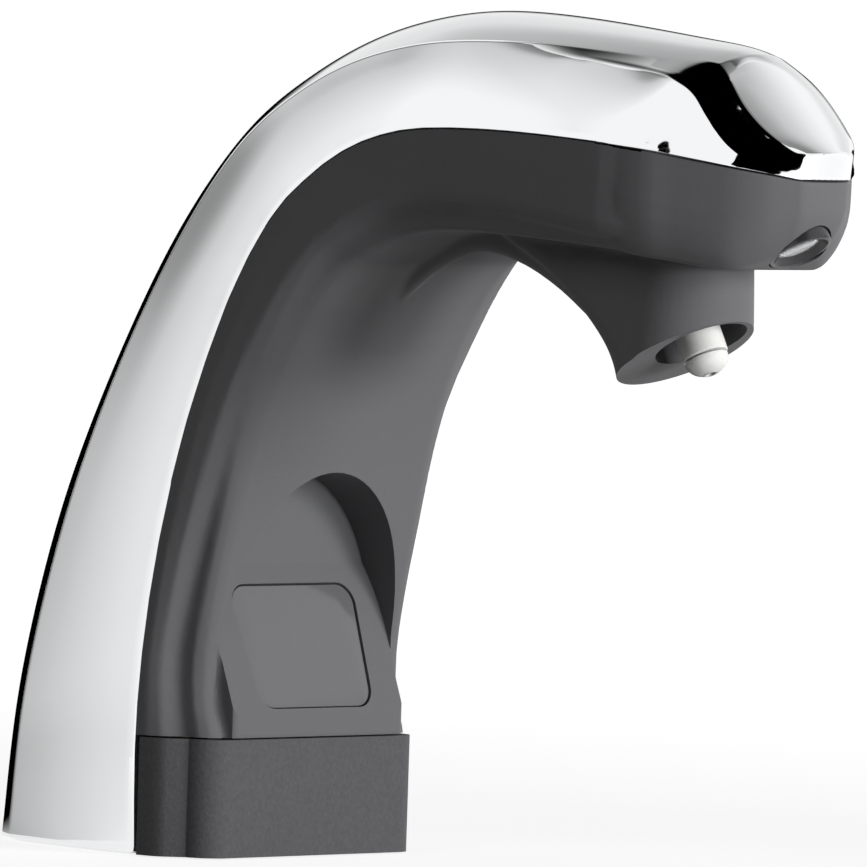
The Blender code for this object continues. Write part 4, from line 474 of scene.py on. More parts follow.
class SpoutForm:
    """Shape of the spout, worked out from the sizes that a user sets."""

    def __init__(self, sizes):
        self.height = sizes.height
        self.reach = sizes.reach
        self.half_width = sizes.half_width
        self.shell_wall = sizes.shell_wall
        self.table = []
        for index, row in enumerate(STATION_SHARES):
            length = BASE_DEPTH if index < BASE_STATIONS else self.reach
            height = NICHE_TOP if index < BASE_STATIONS else self.height
            units = (length, height, length, height, length, height, self.half_width, self.half_width)
            self.table.append((index, *(share * unit for share, unit in zip(row, units))))
        self.floor_table = tuple((place * self.reach, HEAD_LOW_Z + rise * HEAD_FRONT_RISE)
                                 for place, rise in HEAD_FLOOR_SHARES)
        rows = [self.station(place)[0] for place in range(NOSE_STATION - 1, LAST_STATION + 1)]
        self.head_table = tuple((row.x, row.z) for row in rows)

    def station(self, place):
        """Side-view points and half widths at a station number."""
        values = [ease(self.table, place, column) for column in range(1, 9)]
        return (Vector((values[0], 0.0, values[1])), Vector((values[2], 0.0, values[3])),
                Vector((values[4], 0.0, values[5])), values[6], values[7])

    def inward(self, place):
        """Unit vector from the crease through the parting line."""
        parting, crease = self.station(place)[:2]
        return (parting - crease).normalized()

    def side_wall(self, place):
        """Lean of the shell's side, and how far its inner face lies in from the outer edge."""
        parting, crease, _, half, high_half = self.station(place)
        lean = (half - high_half) / (parting - crease).length
        return lean, (self.shell_wall + GAP) * math.sqrt(1 + lean * lean)

    def parting_height(self, x):
        """Height of the parting line over a place on the head."""
        return ease(self.head_table, min(x, self.head_table[-1][0]))

    def head_floor(self, x):
        """Height of the head's underside."""
        return ease(self.floor_table, x)

    def crown_arc(self, place, steps):
        """Points over the crown from the crease at -Y to the crease at +Y, on an arc."""
        _, crease, crown, _, half = self.station(place)
        rise = (crown - crease).length
        direction = (crown - crease).normalized()
        radius = (half ** 2 + rise ** 2) / (2 * rise)
        sweep = math.asin(min(half / radius, 1.0))
        points = []
        for step in range(steps + 1):
            angle = -sweep + 2 * sweep * step / steps
            lift = radius * math.cos(angle) - (radius - rise)
            points.append(crease + direction * lift + Vector((0.0, radius * math.sin(angle), 0.0)))
        return points

    def body_ring(self, place):
        """Closed outer section of the moulded body."""
        parting, _, _, half, _ = self.station(place)
        half -= max(place - (LAST_RING_STATION - 1.0), 0.0) * HEAD_TUCK
        down = self.inward(place)
        lean, offset = self.side_wall(place)
        strip = ease(STRIP_SHARES, place) * BLOCK_DEPTH
        face = ease(FACE_SHARES, place) * BLOCK_DEPTH
        # Above the niche the corner between strip and face lies further out
        under = clamp((place - 3.0) / 3.0)
        corner = STRIP_INSET * (1.0 - 0.65 * under)
        outline = ((half - offset - lean * FLANGE_HEIGHT, -FLANGE_HEIGHT),
                   (half - offset - lean * SPARE, -SPARE), (half, -SPARE), (half, strip * 0.35),
                   (half - corner * 0.25, strip * (0.7 + 0.17 * under)), (half - corner, strip),
                   (half - STRIP_INSET * 1.05, strip + (face - strip) * (0.6 - 0.2 * under)),
                   (half - FACE_INSET, face - FACE_EDGE), (half - FACE_INSET - FACE_TURN, face))
        right = [parting + down * depth + Vector((0.0, wide, 0.0)) for wide, depth in outline]
        return right + mirrored(right)

    def rim_ring(self, place, side):
        """Section of the solid that trims the body's strip along the parting line."""
        parting, _, _, half, _ = self.station(place)
        down = self.inward(place)
        lean, offset = self.side_wall(place)
        outline = ((half - offset, GAP + lean * offset), (half + OVERRUN, GAP - lean * OVERRUN),
                   (half + OVERRUN, -OVERRUN), (half - offset - lean * OVERRUN, -OVERRUN))
        return [parting + down * depth + Vector((0.0, side * wide, 0.0)) for wide, depth in outline]

    def cavity_ring(self, place):
        """Closed section of the cavity inside the body, open past the flange."""
        parting, _, _, half, _ = self.station(place)
        down = self.inward(place)
        depth = ease(CAVITY_SHARES, place) * BLOCK_DEPTH
        strip = ease(STRIP_SHARES, place) * BLOCK_DEPTH
        wide = half - CAVITY_INSET
        lean, offset = self.side_wall(place)
        mouth = half - offset - lean * FLANGE_HEIGHT - FLANGE_THICKNESS
        shoulder = min(strip * 0.6, depth - OVERRUN * 1.5)
        upper = min(strip * 0.15, shoulder - OVERRUN / 2)
        outline = ((mouth, -FLANGE_HEIGHT - OVERRUN * 2), (mouth, upper), (wide, shoulder),
                   (wide, depth - OVERRUN), (wide - OVERRUN, depth))
        right = [parting + down * along + Vector((0.0, across, 0.0)) for across, along in outline]
        return right + mirrored(right)

    def head_outline(self, inset, between=3):
        """Plan outline of the head, moved in by an inset."""
        plan = []
        for step in range((LAST_STATION - NOSE_STATION) * between + 1):
            parting, _, _, half, _ = self.station(NOSE_STATION + step / between)
            plan.append(Vector((parting.x, half)))
        plan[0] = Vector((HEAD_START_X, plan[0].y))
        start_x, start_y = plan[-1]
        for step in range(1, between + 2):
            angle = math.pi / 2 * step / (between + 1)
            plan.append(Vector((start_x + (HEAD_FRONT_X - start_x) * math.sin(angle),
                                start_y * math.cos(angle))))
        moved = []
        for index, point in enumerate(plan):
            before = plan[max(index - 1, 0)]
            after = plan[index + 1] if index + 1 < len(plan) else Vector((before.x, -before.y))
            along = (after - before).normalized()
            normal = Vector((-along.y, along.x)) if index else Vector((-1.0, 1.0))
            moved.append(point - normal * inset)
        return moved + [Vector((point.x, -point.y)) for point in reversed(moved[:-1])]


def add_object(name, data):
    """Object with the data, in the scene."""
    made = bpy.data.objects.new(name, data)
    bpy.context.scene.collection.objects.link(made)
    return made


def add_mesh(name, shape):
    """Object from a bmesh, with its faces pointing out."""
    bmesh.ops.recalc_face_normals(shape, faces=shape.faces)
    mesh = bpy.data.meshes.new(name)
    shape.to_mesh(mesh)
    shape.free()
    return add_object(name, mesh)


def loft(name, rings, strips=False):
    """Closed solid through rings with equal counts of points, uneven ends capped in strips."""
    shape = bmesh.new()
    rows = [[shape.verts.new(point) for point in ring] for ring in rings]
    count = len(rows[0])
    for lower, upper in zip(rows, rows[1:]):
        for step in range(count):
            after = (step + 1) % count
            shape.faces.new((lower[step], lower[after], upper[after], upper[step]))
    for row in (rows[0], rows[-1]):
        if not strips:
            bmesh.ops.triangulate(shape, faces=[shape.faces.new(row)])
        for step in range((count - 1) // 2 if strips else 0):
            corners = (row[step], row[step + 1], row[count - 2 - step], row[count - 1 - step])
            shape.faces.new(tuple(dict.fromkeys(corners)))
    return add_mesh(name, shape)


def prism(name, outline, matrix, low, high):
    """Outline of (x, y) points extruded along the matrix's local Z."""
    return loft(name, [[matrix @ Vector((x, y, level)) for x, y in outline] for level in (low, high)])


def box(name, low, high):
    """Box between two corners, used to cut."""
    outline = ((low[0], low[1]), (high[0], low[1]), (high[0], high[1]), (low[0], high[1]))
    return prism(name, outline, Matrix.Identity(4), low[2], high[2])


def axis_matrix(origin, direction):
    """Matrix whose local +Z runs along the direction."""
    turn = Vector(direction).normalized().to_track_quat("Z", "Y")
    return Matrix.Translation(Vector(origin)) @ turn.to_matrix().to_4x4()


def turned(name, profile, origin=NOZZLE_ORIGIN, direction=NOZZLE_AXIS, sides=72):
    """Closed profile of (radius, distance along the axis) points, spun round the axis."""
    shape = bmesh.new()
    verts = [shape.verts.new((radius, 0.0, along)) for radius, along in profile]
    pairs = [(index, (index + 1) % len(verts)) for index in range(len(verts))]
    edges = [shape.edges.new((verts[start], verts[end])) for start, end in pairs
             if profile[start][0] or profile[end][0]]
    bmesh.ops.spin(shape, geom=verts + edges, cent=(0, 0, 0), axis=(0, 0, 1), angle=math.tau, steps=sides,
                   use_merge=True)
    bmesh.ops.remove_doubles(shape, verts=shape.verts, dist=0.000002)
    bmesh.ops.transform(shape, matrix=axis_matrix(origin, direction), verts=shape.verts)
    return add_mesh(name, shape)


def rounded_profile(corners, radius, steps=4):
    """Profile with its outer corners rounded. Each corner is (radius, along, rounded or not)."""
    points = []
    for index, (x, y, rounded) in enumerate(corners):
        here = Vector((x, y))
        if not rounded:
            points.append((x, y))
            continue
        start = here + (Vector(corners[index - 1][:2]) - here).normalized() * radius
        end = here + (Vector(corners[(index + 1) % len(corners)][:2]) - here).normalized() * radius
        for step in range(steps + 1):
            part = step / steps
            points.append(tuple(start.lerp(here, part).lerp(here.lerp(end, part), part)))
    return points


def apply_modifiers(made):
    """Replace the object's mesh with what its modifiers leave."""
    bpy.context.view_layer.update()
    graph = bpy.context.evaluated_depsgraph_get()
    mesh = bpy.data.meshes.new_from_object(made.evaluated_get(graph))
    old = made.data
    made.modifiers.clear()
    made.data = mesh
    bpy.data.meshes.remove(old)


def cut(made, cutters, operation="DIFFERENCE"):
    """Cut a group of solids out of the object in one exact Boolean step."""
    group = bpy.data.collections.new("cutters")
    for other in cutters:
        for owner in list(other.users_collection):
            owner.objects.unlink(other)
        group.objects.link(other)
    step = made.modifiers.new("cut", "BOOLEAN")
    step.operation = operation
    step.solver = "EXACT"
    step.operand_type = "COLLECTION"
    step.collection = group
    apply_modifiers(made)
    for other in list(cutters):
        bpy.data.objects.remove(other)
    bpy.data.collections.remove(group)


def soften(made, angle):
    """Shade smooth, with sharp edges where faces meet at more than the angle."""
    made.data.shade_smooth()
    made.data.set_sharp_from_angle(angle=math.radians(angle))


def bevel(made, width, segments, angle):
    """Round the edges that turn by more than the angle."""
    step = made.modifiers.new("edges", "BEVEL")
    step.width = width
    step.segments = segments
    step.limit_method = "ANGLE"
    step.angle_limit = math.radians(angle)
    apply_modifiers(made)


def place_piece(made, material, body, slot, *nodes):
    """Give a piece its finish, its body, and the CAD nodes that it stands for."""
    made.data.materials.clear()
    made.data.materials.append(material)
    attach(made, body)
    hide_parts(*nodes)


# Rows up the shell's side, and how far it bulges by station
SIDE_SHARES = (0.0, 0.34, 0.70, 1.0)
SIDE_BULGES = ((0.0, 0.0005), (9.0, 0.0005), (12.0, 0.0005), (14.0, 0.0004), (16.0, 0.0003),
               (18.0, 0.0), (20.0, 0.0))
# Line where the side turns into the chamfer beside the nose facet: station, share of the
# side's height, how far it stands proud, and how crisp its edge is
CHAMFER = ((0.0, 0.88, 0.0, 0.0), (10.5, 0.90, 0.0, 0.0), (12.0, 0.90, 0.00045, 0.6),
           (13.0, 0.87, 0.00105, 0.85), (14.0, 0.80, 0.00185, 0.85), (15.0, 0.67, 0.00180, 0.85),
           (16.0, 0.47, 0.00115, 0.85), (17.0, 0.25, 0.00060, 0.85), (18.0, 0.12, 0.00020, 0.85),
           (20.0, 0.10, 0.0, 0.85))
CROWN_STEPS = 10
SHELL_ROW_STEP = 0.5
CROWN_CREASE = 0.95
NOSE_CREASE = 0.85
FACET_CREASE = 0.9
RIM_CREASE = 0.85
NOSE_CREASE_STATION = 15
FINE_LEVELS = 3


def shell_row(form, place):
    """Row of the shell's outer surface from parting line to parting line, its sides convex."""
    parting, crease, _, low_half, high_half = form.station(place)
    low = parting - Vector((0.0, low_half, 0.0))
    high = crease - Vector((0.0, high_half, 0.0))
    side = []
    chamfer, proud = (ease(CHAMFER, place, column) for column in (1, 2))
    for share in SIDE_SHARES:
        up = share * chamfer
        bulge = ease(SIDE_BULGES, place) * math.sin(math.pi * up) + proud * share
        side.append(low.lerp(high, up) - Vector((0.0, bulge, 0.0)))
    if place == 0:
        side = [Vector((point.x, point.y, GAP)) for point in side]
    arc = [Vector((point.x, point.y, max(point.z, GAP))) for point in form.crown_arc(place, CROWN_STEPS)]
    return side + arc + mirrored(side)


def lip_columns(form, last):
    """Forward-facing band under the nose facet, one column under each point of its edge."""
    columns = []
    count = len(SIDE_SHARES)
    half = last[count].y
    for index in range(count + 1, count + CROWN_STEPS):
        across = last[index].y / half
        column = []
        for level in range(count):
            left, right = last[level], last[len(last) - 1 - level]
            point = left.lerp(right, (1 - across) / 2)
            point.x += (HEAD_FRONT_X + LIP_PROUD - left.x) * math.sqrt(max(1 - across ** 2, 0.0))
            column.append(point)
        columns.append(column)
    return columns


def build_shell(form):
    """Plated cast shell as one wall: crown, sides, slanted nose facet and lip band."""
    shape = bmesh.new()
    creases = shape.edges.layers.float.new("crease_edge")
    places = [step * SHELL_ROW_STEP for step in range(int(LAST_STATION / SHELL_ROW_STEP) + 1)]
    rows = [[shape.verts.new(point) for point in shell_row(form, place)] for place in places]
    for lower, upper in zip(rows, rows[1:]):
        for left in range(len(lower) - 1):
            shape.faces.new((lower[left], lower[left + 1], upper[left + 1], upper[left]))
    count = len(SIDE_SHARES)
    last = rows[-1]
    band = [last[:count + 1]]
    for index, column in enumerate(lip_columns(form, [vert.co for vert in last])):
        band.append([shape.verts.new(point) for point in column] + [last[count + 1 + index]])
    band.append(list(reversed(last[-count - 1:])))
    for left, right in zip(band, band[1:]):
        for level in range(count):
            shape.faces.new((left[level], right[level], right[level + 1], left[level + 1]))
    for lower, upper, place in zip(rows, rows[1:], places):
        for side in (count, count + CROWN_STEPS):
            shape.edges.get((lower[side], upper[side]))[creases] = CROWN_CREASE
        for side in (count - 1, count + CROWN_STEPS + 1):
            shape.edges.get((lower[side], upper[side]))[creases] = max(ease(CHAMFER, place, 3), 0.0)
    nose = rows[places.index(NOSE_CREASE_STATION)]
    for index in range(count, count + CROWN_STEPS):
        shape.edges.get((nose[index], nose[index + 1]))[creases] = NOSE_CREASE
        shape.edges.get((last[index], last[index + 1]))[creases] = FACET_CREASE
    made = add_mesh("plated_shell", shape)
    top = max(made.data.polygons, key=lambda face: face.center.z)
    if top.normal.z < 0:
        made.data.flip_normals()
    wall = made.modifiers.new("wall", "SOLIDIFY")
    wall.thickness = form.shell_wall
    wall.offset = -1.0
    wall.use_even_offset = True
    wall.edge_crease_rim = RIM_CREASE
    wall.edge_crease_outer = RIM_CREASE
    wall.edge_crease_inner = RIM_CREASE
    fine = made.modifiers.new("fine", "SUBSURF")
    fine.levels = FINE_LEVELS
    fine.render_levels = FINE_LEVELS
    apply_modifiers(made)
    for vert in made.data.vertices:
        vert.co.z = max(vert.co.z, GAP)
    soften(made, SHELL_SHARP_ANGLE)
    return made


def head_block(form):
    """Front of the body: plan outline stacked from the parting plane to the underside."""
    rings = []
    for share, inset_share in HEAD_WALL_SHARES:
        ring = []
        for point in form.head_outline(HEAD_INSET + inset_share * BLOCK_DEPTH):
            top = form.parting_height(point.x) + SPARE
            ring.append(Vector((point.x, point.y, top + (form.head_floor(point.x) - top) * share)))
        for end in (0, -1):
            start = ring[end]
            level = form.parting_height(start.x) + SPARE
            ring[end] = Vector((start.x - HEAD_RUN_IN, start.y * HEAD_RUN_IN_WIDTH,
                                level + (start.z - level) * HEAD_RUN_IN_DEPTH))
        rings.append(ring)
    return loft("head_block", rings, strips=True)


def nozzle_boss():
    """Tapered boss under the head, round in front and at its rear."""
    rings = []
    for step in range(BOSS_STEPS + 1):
        rise = step / BOSS_STEPS
        back = ease(BOSS_SHARES, rise, 1)
        wide = ease(BOSS_SHARES, rise, 2) * BOSS_HALF_WIDTH
        height = BOSS_LOW_Z + rise * (BOSS_TOP_Z - BOSS_LOW_Z)
        rear = BOSS_REAR_X + back * (BOSS_TOP_REAR_X - BOSS_REAR_X)
        ring = []
        slim = wide * BOSS_REAR_SHARE
        for centre, radius, start in ((BOSS_FRONT_X - wide, wide, -0.5), (rear + slim, slim, 0.5)):
            for turn in range(BOSS_SIDES + 1):
                angle = math.pi * (start + turn / BOSS_SIDES)
                ring.append(Vector((centre + radius * math.cos(angle), radius * math.sin(angle), height)))
        rings.append(ring)
    return loft("nozzle_boss", rings)


def arch_ridge(form):
    """Rounded ridge from the arch down to the boss."""
    table = tuple((index, row[0] * form.reach, row[1] * form.height, row[2] * BOSS_HALF_WIDTH)
                  for index, row in enumerate(RIDGE_SHARES))
    last = len(RIDGE_SHARES) - 1
    places = [last * step / RIDGE_STEPS for step in range(RIDGE_STEPS + 1)]
    spots = [Vector((ease(table, place, 1), 0.0, ease(table, place, 2))) for place in places]
    rings = []
    for index, (place, spot) in enumerate(zip(places, spots)):
        along = (spots[min(index + 1, RIDGE_STEPS)] - spots[max(index - 1, 0)]).normalized()
        out = Vector((along.z, 0.0, -along.x))
        radius = ease(table, place, 3)
        centre = spot - out * radius
        ring = []
        for step in range(RIDGE_SIDES):
            angle = math.tau * step / RIDGE_SIDES
            ring.append(centre + out * radius * math.cos(angle)
                        + Vector((0.0, radius * math.sin(angle), 0.0)))
        rings.append(ring)
    return loft("arch_ridge", rings)


def panel_x(height):
    """X of the slanted sensor panel at a height."""
    return PANEL_LOW_X - (height - PANEL_LOW_Z) * math.tan(PANEL_TILT)


def panel_height(x):
    """Height at which the slanted sensor panel reaches an X."""
    return PANEL_LOW_Z + (PANEL_LOW_X - x) / math.tan(PANEL_TILT)


def face_matrix(origin, first, outward):
    """Frame on a slanted face: local X along the first direction, local Z outward."""
    turn = Matrix((first, outward.cross(first), outward)).transposed().to_4x4()
    return Matrix.Translation(Vector(origin)) @ turn


def panel_matrix(height):
    """Frame on the slanted panel: local X across, local Y up the slope, local Z outward."""
    outward = Vector((math.cos(PANEL_TILT), 0.0, math.sin(PANEL_TILT)))
    return face_matrix((panel_x(height), 0.0, height), Vector((0.0, 1.0, 0.0)), outward)


def window_outline(grow, steps=10):
    """Rounded outline of the window, a little wider at its top, grown by a margin."""
    half_height = WINDOW_HEIGHT / 2 + grow
    corner = WINDOW_CORNER + grow
    points = []
    for across, up, start in ((1, 1, 0.0), (-1, 1, 0.5), (-1, -1, 1.0), (1, -1, 1.5)):
        half_width = WINDOW_HALF_WIDTH + grow - (WINDOW_TAPER if up < 0 else 0.0)
        for step in range(steps + 1):
            angle = math.pi * (start + 0.5 * step / steps)
            points.append((across * (half_width - corner) + corner * math.cos(angle),
                           up * (half_height - corner) + corner * math.sin(angle)))
    return points


XZ_EXTRUDED_IN_Y = Matrix(((1.0, 0.0, 0.0, 0.0), (0.0, 0.0, 1.0, 0.0), (0.0, 1.0, 0.0, 0.0),
                           (0.0, 0.0, 0.0, 1.0)))
ZY_EXTRUDED_IN_X = Matrix(((0.0, 0.0, 1.0, 0.0), (0.0, 1.0, 0.0, 0.0), (1.0, 0.0, 0.0, 0.0),
                           (0.0, 0.0, 0.0, 1.0)))


def niche_cutter(form):
    """Arched niche, bounded behind by its back wall and the slanted panel."""
    front = FRONT_X + BLOCK_DEPTH
    outline = [(COLLAR_HEIGHT, -NICHE_HALF_WIDTH)]
    for step in range(37):
        angle = math.pi * step / 36
        outline.append((NICHE_SPRING + (NICHE_TOP - NICHE_SPRING) * math.sin(angle),
                        -NICHE_HALF_WIDTH * math.cos(angle)))
    outline.append((COLLAR_HEIGHT, NICHE_HALF_WIDTH))
    arch = prism("niche_cutter", outline, ZY_EXTRUDED_IN_X, NICHE_BACK_X, front)
    low = COLLAR_HEIGHT - OVERRUN
    high = panel_height(NICHE_BACK_X - OVERRUN)
    wedge = prism("niche_wedge", [(panel_x(low), low), (front + OVERRUN, low),
                                  (front + OVERRUN, NICHE_TOP + OVERRUN),
                                  (NICHE_BACK_X - OVERRUN, NICHE_TOP + OVERRUN),
                                  (NICHE_BACK_X - OVERRUN, high)],
                  XZ_EXTRUDED_IN_Y, -form.half_width, form.half_width)
    cut(arch, [wedge], "INTERSECT")
    return arch


def lens_matrix(form):
    """Frame on the sloped underside at the lens: local X forward, local Z pointing out."""
    forward = Vector((math.cos(LENS_TILT), 0.0, math.sin(LENS_TILT)))
    outward = Vector((math.sin(LENS_TILT), 0.0, -math.cos(LENS_TILT)))
    return face_matrix((LENS_CENTRE_X, 0.0, form.head_floor(LENS_CENTRE_X)), forward, outward)


def oval(length, width, steps=64):
    """Ellipse outline."""
    angles = [math.tau * step / steps for step in range(steps)]
    return [(length / 2 * math.cos(angle), width / 2 * math.sin(angle)) for angle in angles]


def along_nozzle(distance):
    """Point on the nozzle axis."""
    return NOZZLE_ORIGIN + NOZZLE_AXIS * distance


def rod(name, start, end, radius, sides=32):
    """Round cutter or post between two points."""
    length = (Vector(end) - Vector(start)).length
    matrix = axis_matrix(start, Vector(end) - Vector(start))
    return prism(name, oval(radius * 2, radius * 2, sides), matrix, 0.0, length)


def pin(name, x, y, low, high, radius, sides=32):
    """Upright round cutter or post between two heights."""
    return rod(name, (x, y, low), (x, y, high), radius, sides)


# Region, in metres, where the boss and the ridge meet the body and its skin is smoothed more
VALLEY_HALF_WIDTH = 0.020
VALLEY_FADE = 0.008
VALLEY_TOP = 0.1125
VALLEY_TOP_FADE = 0.004
VALLEY_LOW = 0.066
# Share of the way that each smoothing pass moves the skin's points
SMOOTH_SHARE = 0.5


def soften_forms(made, passes, voxel):
    """Melt the body's forms into one skin, with soft valleys where the boss and ridge meet it."""
    step = made.modifiers.new("skin", "REMESH")
    step.mode = "VOXEL"
    step.voxel_size = voxel
    apply_modifiers(made)
    group = made.vertex_groups.new(name="valleys")
    for vert in made.data.vertices:
        across = clamp((VALLEY_HALF_WIDTH - abs(vert.co.y)) / VALLEY_FADE)
        below = clamp((VALLEY_TOP - vert.co.z) / VALLEY_TOP_FADE)
        above = clamp((vert.co.z - VALLEY_LOW) / VALLEY_FADE)
        group.add([vert.index], across * below * above, "REPLACE")
    for name, count, limit in (("edges", 2, ""), ("valleys", passes, "valleys")):
        smooth = made.modifiers.new(name, "SMOOTH")
        smooth.factor = SMOOTH_SHARE
        smooth.iterations = count
        smooth.vertex_group = limit
    apply_modifiers(made)


def build_body(form, sizes):
    """Moulded body: strips, hand-side face, niche, slanted panel, head and nozzle boss."""
    places = [1.0 + step * RING_STEP for step in range(int((LAST_RING_STATION - 1.0) / RING_STEP) + 1)]
    made = loft("moulded_body", [form.body_ring(place) for place in places])
    apron_front = FRONT_X + APRON_PROUD
    apron = prism("panel_apron", [(NICHE_BACK_X, COLLAR_HEIGHT), (apron_front, COLLAR_HEIGHT),
                                  (apron_front, panel_height(apron_front) + OVERRUN),
                                  (NICHE_BACK_X, panel_height(NICHE_BACK_X) + OVERRUN)],
                  XZ_EXTRUDED_IN_Y, -NICHE_HALF_WIDTH + GAP, NICHE_HALF_WIDTH - GAP)
    cut(made, [head_block(form), nozzle_boss(), arch_ridge(form), apron], "UNION")
    opening = rod("opening", along_nozzle(0.0), along_nozzle(form.height / 4), form.height / 5, 48)
    mouth = rod("mouth", along_nozzle(-MOUTH_SINK), along_nozzle(OVERRUN), MOUTH_RADIUS, 64)
    soften_forms(made, sizes.fillet_passes, sizes.body_voxel * (1.0))
    cut(made, [niche_cutter(form), opening, mouth])

    pocket_half = form.half_width - HEAD_POCKET_MARGIN
    plan = [(point.x, max(min(point.y, pocket_half), -pocket_half))
            for point in form.head_outline(HEAD_WALL, 1)]
    start = HEAD_START_X - OVERRUN * 2
    plan = [(start, pocket_half)] + plan + [(start, -pocket_half)]
    holder_z = WINDOW_CENTRE_Z - HOLDER_DROP
    cavity_front = NICHE_BACK_X - NICHE_WALL
    wide = form.half_width * 2
    groove = HOLDER_LOW + RETAINER_WIDTH
    head_spots = [HEAD_START_X + (form.reach + OVERRUN - HEAD_START_X) * step / 24 for step in range(25)]
    rim = [(x, form.parting_height(x) - GAP * 1.5) for x in head_spots]
    cutters = [
        prism("head_rim", rim + [(rim[-1][0], form.height), (rim[0][0], form.height)], XZ_EXTRUDED_IN_Y,
              -form.half_width, form.half_width),
        loft("body_cavity", [form.cavity_ring(place) for place in CAVITY_STATIONS]),
        prism("head_pocket", plan, Matrix.Identity(4), HEAD_POCKET_FLOOR_Z, form.height),
        box("holder_seat", (0.0, -HOLDER_HALF_WIDTH, holder_z - HOLDER_HALF_HEIGHT),
            (cavity_front, HOLDER_HALF_WIDTH, holder_z + HOLDER_HALF_HEIGHT)),
        box("foot", (-form.reach, -wide, -OVERRUN), (form.reach / 2, wide, COLLAR_HEIGHT + GAP)),
        turned("tunnel", ((0.0, TUNNEL_LOW), (BORE_RADIUS, TUNNEL_LOW), (BORE_RADIUS, groove),
                          (RETAINER_RADIUS + GAP, groove), (RETAINER_RADIUS + GAP, HOLDER_LOW),
                          (BORE_RADIUS, HOLDER_LOW), (BORE_RADIUS, -BORE_DEPTH),
                          (PASSAGE_RADIUS, -BORE_DEPTH), (PASSAGE_RADIUS, -BORE_DEPTH - PASSAGE_LENGTH),
                          (0.0, -BORE_DEPTH - PASSAGE_LENGTH))),
        prism("window_pocket", window_outline(GAP), panel_matrix(WINDOW_CENTRE_Z),
              -WINDOW_THICKNESS - WINDOW_SEAT, OVERRUN),
        box("sensor_sight", (cavity_front - SIGHT_DEPTH, -SIGHT_HALF_WIDTH, holder_z - SIGHT_LOW),
            (PANEL_LOW_X, SIGHT_HALF_WIDTH, WINDOW_CENTRE_Z + SIGHT_HIGH)),
        prism("lens_recess", oval(BEZEL_LENGTH + 2 * GAP, BEZEL_WIDTH + 2 * GAP), lens_matrix(form),
              -BEZEL_HEIGHT - GAP, OVERRUN),
        pin("light_hole", LENS_CENTRE_X, 0.0, form.head_floor(LENS_CENTRE_X),
            HEAD_POCKET_FLOOR_Z + OVERRUN, HOLE_RADIUS)]
    for side in (-1, 1):
        cutters.append(loft("strip_rim", [form.rim_ring(place, side) for place in [0.9] + places]))
        cutters.append(pin("screw_hole", POST_X, side * POST_Y, COLLAR_HEIGHT, POST_HOLE_TOP,
                           HOLE_RADIUS, 20))
    cut(made, cutters)
    soften(made, PLASTIC_SHARP_ANGLE)
    return made


def build_collar(form):
    """Textured collar at the deck, with its floor plate, posts and shank hub inside."""
    half = form.station(0.0)[3]
    lean, offset = form.side_wall(0.0)
    edge = form.station(0.0)[0].x + GAP + lean * offset
    right = [(edge + along, half - inset) for along, inset in COLLAR_EDGE]
    right.append((edge + COLLAR_FRONT_START, FRONT_HALF_WIDTH))
    corner = COLLAR_CORNER
    for step in range(17):
        angle = math.pi / 2 * (1 - step / 16)
        right.append((FRONT_X - corner + corner * math.cos(angle),
                      FRONT_HALF_WIDTH - corner + corner * math.sin(angle)))
    outline = right + [(x, -y) for x, y in reversed(right)]
    made = prism("textured_collar", outline, Matrix.Identity(4), 0.0, COLLAR_HEIGHT)
    bevel(made, COLLAR_BEVEL, 3, 50)
    cut(made, [box("inside", (edge - OVERRUN, -FRONT_HALF_WIDTH + COLLAR_WALL, COLLAR_FLOOR),
                   (FRONT_X - COLLAR_WALL, FRONT_HALF_WIDTH - COLLAR_WALL, COLLAR_HEIGHT + OVERRUN))])
    plate = [Vector((point.x, point.y, 0.0)) for point in shell_row(form, 0.5)]
    plate = [point - point.normalized() * (form.shell_wall + PLATE_GAP) for point in plate]
    plate_outline = ([(edge + OVERRUN, plate[0].y)] + [(point.x, point.y) for point in plate]
                     + [(edge + OVERRUN, -plate[0].y)])
    added = [prism("floor", plate_outline, Matrix.Identity(4), PLATE_LOW, PLATE_TOP),
             pin("hub", 0.0, 0.0, FACE_STEP, HUB_HEIGHT, HUB_RADIUS, 64)]
    added += [pin("post", POST_X, side * POST_Y, POST_LOW, COLLAR_HEIGHT - FACE_STEP, POST_RADIUS)
              for side in (-1, 1)]
    cut(made, added, "UNION")
    inner, outer = GASKET_RADII
    cutters = [pin("insert_bore", 0.0, 0.0, INSERT_LOW, INSERT_HOLE_TOP, INSERT_HOLE_RADIUS, 64),
               pin("shoulder_bore", 0.0, 0.0, -OVERRUN, SHOULDER_HOLE_TOP, SHOULDER_HOLE_RADIUS, 64),
               turned("gasket_groove", ((inner, -OVERRUN), (outer, -OVERRUN), (outer, GASKET_GROOVE_TOP),
                                        (inner, GASKET_GROOVE_TOP)), (0.0, 0.0, 0.0), (0.0, 0.0, 1.0))]
    for name in ("body_screw_left", "body_screw_right", "shell_screw_left", "shell_screw_right"):
        low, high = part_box(name)
        x, y = ((low + high) / 2)[:2]
        cutters.append(pin("hole", x, y, -OVERRUN, SCREW_HOLE_TOP, HOLE_RADIUS, 24))
        cutters.append(pin("recess", x, y, -OVERRUN, SCREW_RECESS_TOP, SCREW_RECESS_RADIUS))
    cut(made, cutters)
    soften(made, PLASTIC_SHARP_ANGLE)
    return made


def build_window():
    """Infrared window with a rounded edge, set in the slanted panel."""
    made = prism("infrared_window", window_outline(0.0), panel_matrix(WINDOW_CENTRE_Z),
                 -WINDOW_THICKNESS - GAP, -GAP)
    bevel(made, WINDOW_BEVEL, 4, 60)
    soften(made, WINDOW_SHARP_ANGLE)
    return made


